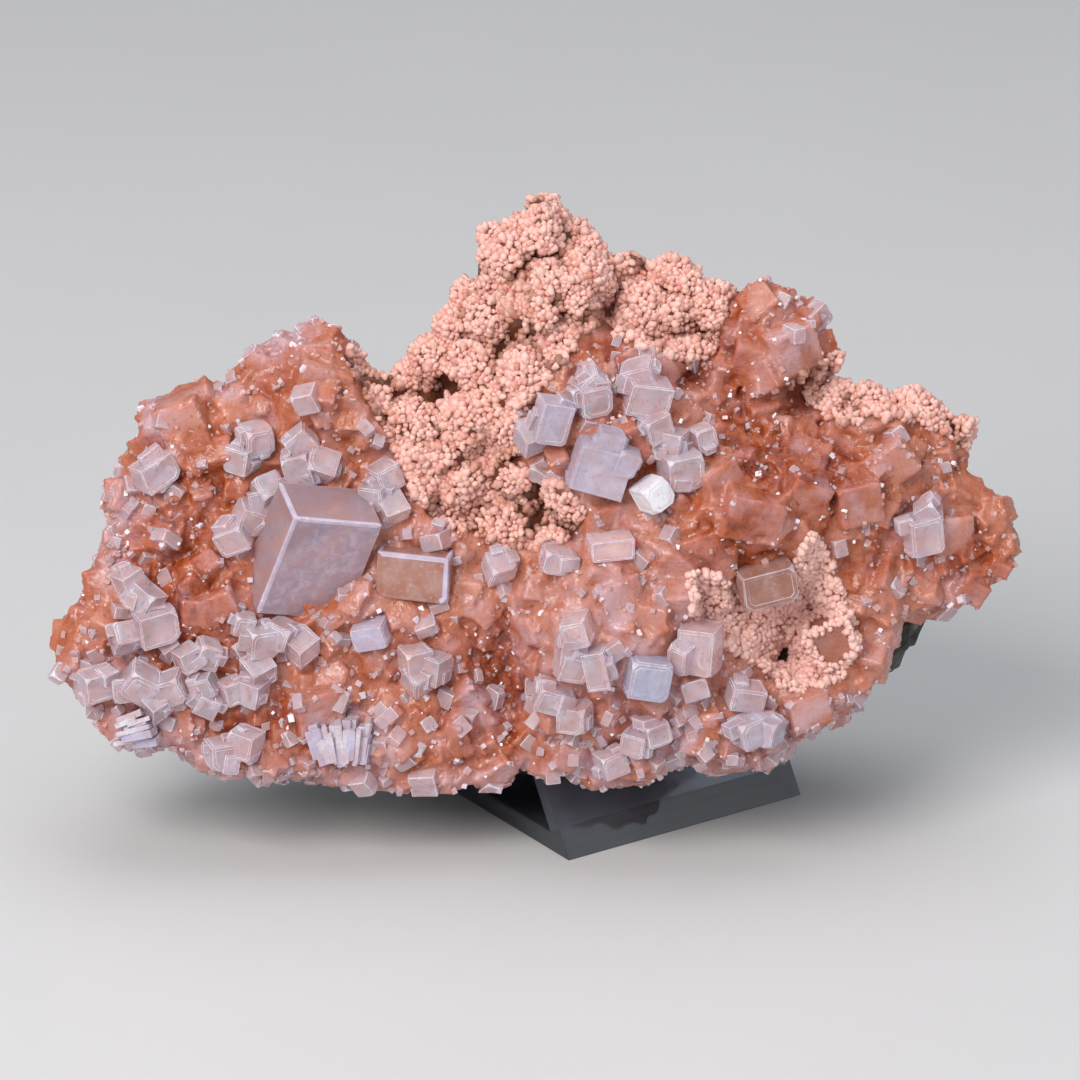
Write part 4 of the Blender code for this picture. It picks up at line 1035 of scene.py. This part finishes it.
def block_places(points, normals):
    """Places and whiteness of the intergrown blocks of the peach crust."""
    chance = random.Random(7)
    a, b = points[:, 0], points[:, 1]
    waxy = np.clip(hills(a, b, WAXY), 0.0, 1.0)
    depth = depth_in_boxes(points)
    usable = np.flatnonzero((pinkness(a, b) < 0.35) & (points[:, 2] > 1.5) & (depth < -0.2)
                            & (normals[:, 2] > -0.45))
    spread = Spread(2.0)
    places, whites = [], []
    for entry in (*PEACH_BLOCKS, *(row for name in FUSED for row in CRYSTALS[name])):
        middle = box_middle(entry)
        middle.z -= 1.4 + 2.0 * min(1.0, hills(middle.x, middle.y, WAXY))
        places.append(place_matrix(middle, box_axes(entry), entry[3:6]))
        whites.append(0.0)
    while len(places) < BLOCKS:
        index = usable[chance.randrange(len(usable))]
        if chance.random() < 0.75 * waxy[index]:
            continue
        size = 1.8 + 4.2 * chance.random() ** 1.7
        if depth[index] > -0.40 * size or not spread.free(points[index], 0.42 * size):
            continue
        axes = leaning_axes(points[index], chance, 0.22)
        sides = [size * chance.uniform(0.8, 1.25) for _ in range(3)]
        middle = points[index] - normals[index] * size * chance.uniform(0.12, 0.42)
        places.append(place_matrix(middle, axes, sides))
        whites.append(max(0.0, chance.gauss(0.0, 0.14)))
    return places, whites


def crust_skin():
    """Crust with its blocks grown together: waxy peach masses, and the ground of the grains."""
    skin, points, normals = base_skin()
    places, whites = block_places(points, normals)
    shape, faces, _ = block_shape()
    bm = bmesh.new()
    bm.from_mesh(skin.data)
    for place in places:
        corners = [bm.verts.new(place[:3, :3] @ corner + place[:3, 3]) for corner in shape]
        for face in faces:
            bm.faces.new([corners[index] for index in face])
    bm.to_mesh(skin.data)
    bm.free()
    even_mesh(skin, FUSED_CELL)
    cut_level(skin, CRUST_BACK)
    soften = skin.modifiers.new("soften", "SMOOTH")
    soften.factor = 0.5
    soften.iterations = 3
    count = sum(len(face.vertices) - 2 for face in skin.data.polygons)
    thin = skin.modifiers.new("thin", "DECIMATE")
    thin.ratio = min(1.0, SKIN_TRIANGLES / count)
    apply_modifiers(skin)
    print("skin", count, "->", len(skin.data.polygons))

    points, normals = vectors(skin), vectors(skin, "normal")
    small = facets(points, 1.5)
    ground = (1.0 - pinkness(points[:, 0], points[:, 1])) * (points[:, 2] > 1.0)
    points += normals * (0.42 * small * ground)[:, None]
    inside = depth_in_boxes(points)
    points[:, 2] -= np.clip(inside * 1.5, 0.0, 1.5)
    points[:, 2] = np.maximum(points[:, 2], CRUST_BACK)
    a, b = points[:, 0].copy(), points[:, 1].copy()
    pink = pinkness(a, b)
    lumps = clumps(points)
    lip = np.clip(1.0 - (points[:, 2] - CRUST_BACK) / LIP_HEIGHT, 0.0, 1.0) ** 1.5
    lip *= np.clip(1.3 + 2.6 * noises(points, 9.0) + 1.2 * noises(points, 3.5), -0.5, 3.6)
    points[:, 2] -= lip
    points[:, :2] *= (1.0 - 0.4 * lip / np.maximum(np.hypot(a, b), 10.0))[:, None]
    move_points(skin, points)
    # how far points lie under the smooth crust, away from the rim: more rust and painted shade
    # in hollows
    deep = crust_height(a, b) - 0.6 - points[:, 2]
    deep = np.where(points[:, 2] < RIM_HEIGHT + 1.0, 0.0, deep)
    # low places between the pink clumps get painted shade; the pocket gets less of it and less
    # of the dark pink ground
    low = np.clip((-0.6 - lumps) / 1.5, 0.0, 1.0)
    pocket = ring_depth(a, b, PINK_AREAS[POCKET]) > -1.0
    tint = crust_tint(points, deep / 2.2, pink * (0.25 + 0.75 * low) * (1.0 - 0.7 * pocket))
    tint[:, 2] *= 1.0 - 0.75 * pocket
    # painted light: marks the crust inside the crystals, painted paler in the material
    painted_light_under_crystal = skin.data.attributes.new("painted_light_under_crystal", "FLOAT", "POINT")
    painted_light_under_crystal.data.foreach_set("value", np.clip(inside * 2.5, 0.0, 1.0).astype(np.float32))
    near = KDTree(len(places))
    for index, place in enumerate(places):
        near.insert(place[:3, 3], index)
    near.balance()
    for index, point in enumerate(points):
        _, found, _ = near.find(point)
        tint[index, 1] += whites[found]
    set_tint(skin, np.clip(tint, 0.0, 1.0))
    normals = vectors(skin, "normal")
    move_points(skin, on_face(points))
    finish_piece(skin, [CRUST], ["peach_druse", *FUSED], smooth=True)
    return points, normals, lumps


def cut_level(target, level):
    """Cut an object off below a height of the face, and close it."""
    bm = bmesh.new()
    bm.from_mesh(target.data)
    parts = bm.verts[:] + bm.edges[:] + bm.faces[:]
    bmesh.ops.bisect_plane(bm, geom=parts, dist=1e-7, plane_co=(0.0, 0.0, level),
                           plane_no=(0.0, 0.0, -1.0), clear_outer=True)
    rim = [edge for edge in bm.edges if edge.is_boundary]
    bmesh.ops.holes_fill(bm, edges=rim, sides=0)
    bmesh.ops.triangulate(bm, faces=[face for face in bm.faces if len(face.verts) > 4])
    bm.to_mesh(target.data)
    bm.free()


class Spread:
    """Keeps scattered pieces a distance apart."""

    def __init__(self, cell):
        self.cell = cell
        self.held = {}

    def free(self, point, gap):
        key = tuple(int(math.floor(part / self.cell)) for part in point)
        steps = int(math.ceil(gap / self.cell))
        for i in range(-steps, steps + 1):
            for j in range(-steps, steps + 1):
                for k in range(-steps, steps + 1):
                    for other in self.held.get((key[0] + i, key[1] + j, key[2] + k), ()):
                        if sum((p - q) ** 2 for p, q in zip(point, other)) < gap * gap:
                            return False
        self.held.setdefault(key, []).append(tuple(point))
        return True


def leaning_axes(point, chance, jitter):
    """Axes of a small crystal: neighbours grow nearly parallel."""
    lean = noise.noise_vector(Vector(point) / 13.0)
    angles = [1.6 * part + chance.gauss(0.0, jitter) for part in lean]
    return Euler(angles, "XYZ").to_matrix()


def place_matrix(point, axes, sides):
    """4 x 4 array that puts a unit shape at a point."""
    matrix = np.eye(4)
    matrix[:3, :3] = np.array(axes) * np.array(sides)[None, :]
    matrix[:3, 3] = point
    return matrix


def scatter_crumbs(skin_points, skin_normals):
    """Tiny glinting crystals on the peach crust."""
    chance = random.Random(11)
    a, b = skin_points[:, 0], skin_points[:, 1]
    depth = depth_in_boxes(skin_points)
    usable = np.flatnonzero((pinkness(a, b) < 0.35) & (skin_points[:, 2] > 1.0)
                            & (depth < -0.2) & (skin_normals[:, 2] > -0.35))
    places, tints = [], []
    while len(places) < CRUMBS:
        index = usable[chance.randrange(len(usable))]
        size = 0.30 + 0.6 * chance.random() ** 2.0
        point, normal = skin_points[index], skin_normals[index]
        axes = leaning_axes(point, chance, 0.8)
        sides = [size * chance.uniform(0.6, 1.5) for _ in range(3)]
        places.append(place_matrix(point - normal * 0.1 * size, axes, sides))
        tints.append(index)
    tint = crust_tint(skin_points[tints])
    # a few crumbs get a high white tint, painted near white as painted glints
    tint[:, 1] = [chance.random() ** 3.4 for _ in tints]
    bits = tiled("peach_crumbs", [block_shape()], np.array(places), tint)
    finish_piece(bits, [GLINT])


def scatter_clear(skin_points, skin_normals):
    """Small clear crystals round the larger ones and along the lower edge."""
    chance = random.Random(23)
    a, b = skin_points[:, 0], skin_points[:, 1]
    tint = crust_tint(skin_points)
    near = np.full(len(a), 1e9)
    for middle, _, half in BOXES:
        near = np.minimum(near, np.hypot(a - middle.x, b - middle.y) - max(half))
    depth = depth_in_boxes(skin_points)
    lower_left = np.clip((-10.0 - b) / 10.0, 0.0, 1.0) * np.clip((-15.0 - a) / 20.0, 0.0, 1.0)
    waxy = np.clip(hills(a, b, WAXY), 0.0, 1.0)
    wish = 0.04 + 0.75 * tint[:, 1] + 0.45 * np.exp(-np.maximum(near, 0.0) / 3.0)
    low_rim = np.exp(-((b + 31.0) / 4.0) ** 2) * np.clip((a + 10.0) / 10.0, 0.0, 1.0)
    wish = (wish + 0.35 * lower_left + 0.5 * low_rim) * (1.0 - 0.85 * waxy)
    usable = np.flatnonzero((tint[:, 2] < 0.3) & (skin_points[:, 2] > 1.5)
                            & (skin_normals[:, 2] > -0.3) & (depth < -0.1))
    spread = Spread(2.0)
    shapes = [crystal_shape(random.Random(seed)) for seed in range(CRYSTAL_SHAPES)]
    places = []
    while len(places) < SMALL_CRYSTALS:
        index = usable[chance.randrange(len(usable))]
        if chance.random() > wish[index]:
            continue
        size = 0.9 + 2.7 * chance.random() ** 1.8
        if depth[index] > -0.35 * size or not spread.free(skin_points[index], 0.64 * size):
            continue
        axes = leaning_axes(skin_points[index], chance, 0.5)
        sides = [size * chance.uniform(0.65, 1.35) for _ in range(3)]
        middle = skin_points[index] - skin_normals[index] * size * chance.uniform(0.10, 0.36)
        places.append(place_matrix(middle, axes, sides))
    blocks = tiled("small_clear_crystals", shapes, np.array(places),
                   np.zeros((len(places), 4)))
    finish_piece(blocks, [CLEAR, FROST])


def scatter_grains(skin_points, skin_normals, lumps):
    """Rounded grains heaped on the pink areas, one piece for each area."""
    chance = random.Random(31)
    a, b = skin_points[:, 0], skin_points[:, 1]
    depth = depth_in_boxes(skin_points)
    shapes = [grain_shape(random.Random(seed)) for seed in range(GRAIN_SHAPES)]
    for name, ring in PINK_AREAS.items():
        inner = ring_depth(a, b, ring)
        usable = np.flatnonzero((inner > -0.4) & (skin_points[:, 2] > 1.0) & (depth < -0.3)
                                & (skin_normals[:, 2] > -0.6))
        order = list(usable)
        chance.shuffle(order)
        spread = Spread(1.2)
        places, tints = [], []
        pocket = name == POCKET
        small, gap = (0.94, 0.92) if pocket else (1.0, 1.06)
        for index in order:
            radius = small * (0.44 + 0.38 * chance.random() ** 1.3)
            if not spread.free(skin_points[index], gap * radius):
                continue
            if lumps[index] < -2.2 - chance.random() and not pocket:
                continue
            point, normal = Vector(skin_points[index]), Vector(skin_normals[index])
            tilt = Vector((chance.gauss(0, 0.35), chance.gauss(0, 0.35), chance.gauss(0, 0.35)))
            axis = (normal + tilt).normalized()
            axes = axis.to_track_quat("Z", "Y").to_matrix() @ Euler(
                (0.0, 0.0, chance.uniform(0.0, 3.1))).to_matrix()
            long = radius * (1.05 + 0.75 * chance.random())
            sides = (radius * chance.uniform(0.8, 1.05), radius * chance.uniform(0.8, 1.05),
                     long)
            middle = point + normal * (0.05 + 0.45 * chance.random()) * radius
            places.append(place_matrix(middle, axes, sides))
            # grains in the low places between clumps get painted shade and more rust and stay
            # off the pale colour; the pocket's grains are all pale, without painted shade
            valley = min(1.0, max(0.0, (-0.5 - lumps[index]) / 1.8))
            white = chance.random() ** 0.9 * (1.0 - valley)
            rust_and_shade = 0.30 * chance.random() ** 2 + 0.35 * valley
            shade = 0.8 * valley * chance.random()
            tints.append((0.0, 1.0, 0.0, 0.0) if pocket else (rust_and_shade, white, 0.0, shade))
        half = len(places) // 2 if len(places) > MOST_GRAINS else len(places)
        for part in range(0, len(places), half):
            grains = tiled(name.replace("crust", "grains") + ("_more" if part else ""),
                           shapes, np.array(places[part:part + half]),
                           np.array(tints[part:part + half]))
            finish_piece(grains, [GRAIN], [] if part else [name],
                         smooth=True)
        print(name, len(places), "grains")


# ---------------------------------------------------------------- loose-standing crystals
def crystal_mesh(bm, chance, middle, axes, sides, edge, step, kinds):
    """Add one box crystal: cut edges, a rim round each face and a low step inside it.

    kinds gives the material numbers of the faces, of the rims and of the cut edges.
    """
    box = bmesh.new()
    bmesh.ops.create_cube(box, size=1.0)
    bmesh.ops.scale(box, vec=Vector(sides), verts=box.verts[:])
    for vertex in box.verts:
        vertex.co += Vector([chance.uniform(-0.02, 0.02) * side for side in sides])
    cut = [vertex for vertex in box.verts if chance.random() < 0.5]
    if cut:
        bmesh.ops.bevel(box, geom=cut, offset=chance.uniform(0.12, 0.26) * min(sides),
                        segments=1, affect="VERTICES")
    bmesh.ops.bevel(box, geom=box.edges[:], offset=edge, segments=2, profile=0.6,
                    affect="EDGES")
    large = max(face.calc_area() for face in box.faces)
    broad = [face for face in box.faces if face.calc_area() > 0.3 * large]
    for face in box.faces:
        face.material_index = kinds[2]
    for face in broad:
        face.material_index = kinds[1]
        rim = min(sides) * chance.uniform(0.07, 0.12)
        bmesh.ops.inset_individual(box, faces=[face], thickness=rim,
                                   depth=0.0)
        face.material_index = kinds[0]
        if step > 0.0 and chance.random() < 0.75:
            ledge = bmesh.ops.inset_individual(box, faces=[face], thickness=0.12,
                                               depth=chance.choice((-1.0, 1.0)) * step)
            for ring in ledge["faces"]:
                ring.material_index = kinds[2]
            if chance.random() < 0.5:
                bmesh.ops.inset_individual(
                    box, faces=[face], thickness=min(sides) * chance.uniform(0.1, 0.2),
                    depth=0.0)
                bmesh.ops.inset_individual(box, faces=[face], thickness=0.1,
                                           depth=chance.choice((-1.0, 1.0)) * 0.6 * step)
    bmesh.ops.transform(box, matrix=Matrix.Translation(middle) @ axes.to_4x4(),
                        verts=box.verts[:])
    add_to(bm, box)


def add_to(bm, other):
    """Move the contents of one bmesh into another."""
    held = bpy.data.meshes.new("held")
    other.to_mesh(held)
    other.free()
    bm.from_mesh(held)
    bpy.data.meshes.remove(held)


def place_crystal(bm, name):
    """Object from crystals in the face frame, set in the world and kept over the rock."""
    made = new_object(name, bm)
    points = vectors(made)
    points[:, 2] = np.maximum(points[:, 2], 0.6)
    move_points(made, on_face(points))
    return made


# Body and edge materials of the crystals that aren't plain clear ones.
MILKY_NODES = {
    "white_blade_crystals": (MILKY, FROST), "white_fan_crystal": (MILKY, FROST),
    # the white rhomb is painted near white as a painted reflection
    "white_rhomb_crystal": (PAINTED_REFLECTION_WHITE, PAINTED_REFLECTION_WHITE), "pale_blue_crystal": (BLUISH, FROST),
    "milky_crystal_left_centre": (MILKY, FROST), "embedded_slab_crystal": (SLAB, BAND),
    "crystals_beside_peak": (SATIN, FROST), "stepped_slab_crystal": (SATIN, SATIN),
    "slab_crystal_under_tongue": (SLAB, FROST),
    "whitish_cluster_lower_right": (SATIN, FROST),
}


def large_crystal():
    """The large crystal: cloudy in front, clearer at the sides, frosted along its near edges."""
    middle, axes, sides = large_box()
    bm = bmesh.new()
    bmesh.ops.create_cube(bm, size=1.0)
    bmesh.ops.scale(bm, vec=Vector(sides), verts=bm.verts[:])
    bmesh.ops.transform(bm, matrix=Matrix.Translation(middle) @ axes.to_4x4(),
                        verts=bm.verts[:])
    near = min(bm.verts, key=lambda vertex: (vertex.co - Vector(LARGE_CORNER)).length)
    for face in bm.faces:
        face.material_index = 1
    front = [face for face in bm.faces if near in face.verts]
    broad = max(front, key=lambda face: -face.calc_center_median().y)
    for face in list(bm.faces):
        touching = near in face.verts
        body = 0 if face is broad else 1
        made = bmesh.ops.inset_individual(bm, faces=[face], thickness=0.9 if touching else 0.5)
        face.material_index = body
        for ring in made["faces"]:
            ring.material_index = 2 if near in ring.verts else body
    sharp = [edge for edge in bm.edges if edge.calc_face_angle(0.0) > 1.0]
    bmesh.ops.bevel(bm, geom=sharp, offset=0.15, segments=2, profile=0.6,
                    affect="EDGES", material=3)
    piece = place_crystal(bm, "large_crystal")
    finish_piece(piece, [FRONT, SIDE, BAND, FROST],
                 ["large_apophyllite_crystal"])


# How much deeper than its table row a crystal sits in the crust.
SUNK = {"embedded_slab_crystal": 0.9}

# Bundles of thin blades: middle a, b, width, length, turn and spread in degrees, and count.
BUNDLES = {
    "white_fan_crystal": (-34.0, -31.2, 9.6, 8.4, 2.0, 16.0, 30),
    "white_blade_crystals": (-69.8, -29.2, 4.8, 8.2, -75.0, 6.0, 9),
}


def blade_bundle(bm, chance, row):
    """Thin blades side by side, spreading from their foot, with uneven tips."""
    middle_a, middle_b, width, length, turn, spread, count = row
    turned = Matrix.Rotation(math.radians(turn), 3, "Z")
    for index in range(count):
        across = (index + 0.5) / count - 0.5 + chance.uniform(-0.03, 0.03)
        long = length * (1.0 - 1.1 * across * across) * chance.uniform(0.5, 0.9)
        along = 0.5 * (length - long) * chance.uniform(-0.9, 0.9)
        flat = turned @ Vector((across * width, along, 0.0))
        a, b = middle_a + flat.x, middle_b + flat.y
        over = chance.uniform(-0.6, 0.9) - 2.5 * across * across
        height = crust_height(np.array([a]), np.array([b]))[0]
        axes = Euler((math.radians(chance.uniform(4.0, 18.0)), chance.gauss(0.0, 0.15),
                      math.radians(turn - 2.0 * spread * across))).to_matrix()
        sides = (chance.uniform(0.8, 1.7), long, 4.0)
        crystal_mesh(bm, chance, Vector((a, b, height + over)), axes, sides,
                     0.10, 0.0, (0, 0, 2))


# Single crystals on which no smaller ones grow.
ALONE = ("white_rhomb_crystal", "pale_blue_crystal", "embedded_slab_crystal",
         "slab_crystal_under_tongue", "milky_crystal_left_centre", "long_crystal_centre")


def satellites(chance, entries):
    """Smaller crystals grown on and into the crystals of a cluster, nearly parallel."""
    grown = []
    for a, b, over, *rest in entries:
        sides, turns = rest[:3], rest[3:]
        for _ in range(chance.choice((1, 2, 3))):
            share = chance.uniform(0.32, 0.62)
            turn = chance.uniform(0.0, 2.0 * math.pi)
            reach_out = 0.5 * min(sides[:2]) * chance.uniform(0.85, 1.15)
            grown.append((a + reach_out * math.cos(turn), b + reach_out * math.sin(turn),
                          over + chance.uniform(-0.3, 1.1),
                          *(side * share * chance.uniform(0.8, 1.3) for side in sides),
                          *(angle + chance.gauss(0.0, 9.0) for angle in turns)))
    return grown


def loose_crystals():
    chance = random.Random(5)
    large_crystal()
    for name, entries in CRYSTALS.items():
        if name in FUSED:
            continue
        bm = bmesh.new()
        if name not in ALONE:
            entries = [*entries, *satellites(chance, entries)]
        if name in BUNDLES:
            blade_bundle(bm, chance, BUNDLES[name])
            entries = ()
        sink = Vector((0.0, 0.0, SUNK.get(name, 0.0)))
        for entry in entries:
            crystal_mesh(bm, chance, box_middle(entry) - sink, box_axes(entry), entry[3:6],
                         0.14, 0.08, (0, 1, 2))
        if name == "embedded_slab_crystal":
            middle = box_middle(entries[0])
            for face in bm.faces:
                away = face.calc_center_median() - middle
                if face.material_index and away.x < 4.5 and away.y < 2.2:
                    face.material_index = 0
        piece = place_crystal(bm, "fine_" + name)
        body, edge = MILKY_NODES.get(name, (CLEAR, FROST))
        rim = BAND if name == "embedded_slab_crystal" else body
        finish_piece(piece, [body, rim, edge], [name])


# ---------------------------------------------------------------- rock and stand
def basalt_rock():
    """Broken surface of the basalt."""
    rock = bpy.data.objects.new("basalt_rock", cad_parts["basalt_matrix"].data.copy())
    bpy.context.scene.collection.objects.link(rock)
    even_mesh(rock, 1.3 * MM)
    points, normals = vectors(rock), vectors(rock, "normal")
    scaled = points / MM
    rise = facets(scaled, 9.0)
    fine = facets(scaled, 3.5)
    relief = 0.5 * rise + 0.6 * fine + 0.5 * noises(scaled, 2.5)
    points += normals * np.clip(relief - 0.4, -2.4, 0.9)[:, None] * MM
    points[:, 2] = np.maximum(points[:, 2], REST_HEIGHT)
    move_points(rock, points)
    finish_piece(rock, [BASALT], ["basalt_matrix"], smooth=False)


def stand():
    """Clear channel with fine polished edges."""
    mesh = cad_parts["acrylic_stand"].data.copy()
    made = bpy.data.objects.new("clear_stand", mesh)
    bpy.context.scene.collection.objects.link(made)
    bm = bmesh.new()
    bm.from_mesh(mesh)
    bmesh.ops.remove_doubles(bm, verts=bm.verts[:], dist=0.01 * MM)
    bmesh.ops.dissolve_limit(bm, angle_limit=math.radians(1.0), verts=bm.verts[:],
                             edges=bm.edges[:])
    bmesh.ops.bevel(bm, geom=bm.edges[:], offset=0.12 * MM, segments=2, affect="EDGES")
    bm.to_mesh(mesh)
    bm.free()
    finish_piece(made, [ACRYLIC], ["acrylic_stand"])


# ---------------------------------------------------------------- floor, light and camera
VIEW_TARGET = Vector(FACE_MIDDLE)
CAMERA_DISTANCE = 1.21
CAMERA_LENS = 36.0 * 1.2 / 0.1862
CAMERA_SHIFT = 20.0 / 1080.0


def area_light(name, place, power, size, colour):
    light = bpy.data.lights.new(name, "AREA")
    light.energy = power
    light.size = size
    light.color = colour
    lamp = bpy.data.objects.new(name, light)
    bpy.context.scene.collection.objects.link(lamp)
    lamp.location = place
    lamp.rotation_euler = (VIEW_TARGET - lamp.location).to_track_quat("-Z", "Y").to_euler()


def studio():
    bm = bmesh.new()
    bmesh.ops.create_grid(bm, x_segments=8, y_segments=8, size=3.0)
    floor = new_object("floor", bm)
    floor.data.materials.append(FLOOR)

    world = bpy.data.worlds.new("soft_studio")
    bpy.context.scene.world = world
    world.use_nodes = True
    back = world.node_tree.nodes["Background"]
    back.inputs["Color"].default_value = (0.88, 0.92, 1.0, 1.0)
    back.inputs["Strength"].default_value = 0.36

    area_light("key", (-0.48, -0.74, 0.76), 11.4, 0.65, (1.0, 0.97, 0.95))
    area_light("fill", (0.85, -0.55, 0.30), 2.2, 0.9, (0.90, 0.94, 1.0))
    area_light("top", (0.05, 0.20, 0.90), 3.0, 0.8, (0.95, 0.96, 1.0))

    lens = bpy.data.cameras.new("camera")
    camera = bpy.data.objects.new("camera", lens)
    bpy.context.scene.collection.objects.link(camera)
    away = Vector((0.0, -math.cos(LEAN), math.sin(LEAN)))
    camera.location = VIEW_TARGET + away * CAMERA_DISTANCE
    camera.rotation_euler = (-away).to_track_quat("-Z", "Y").to_euler()
    lens.sensor_width = 36.0
    lens.lens = CAMERA_LENS
    lens.shift_y = CAMERA_SHIFT
    bpy.context.scene.camera = camera
    bpy.context.scene.view_settings.view_transform = "Standard"


SKIN_POINTS, SKIN_NORMALS, LUMPS = crust_skin()
scatter_crumbs(SKIN_POINTS, SKIN_NORMALS)
scatter_clear(SKIN_POINTS, SKIN_NORMALS)
scatter_grains(SKIN_POINTS, SKIN_NORMALS, LUMPS)
loose_crystals()
basalt_rock()
stand()
studio()
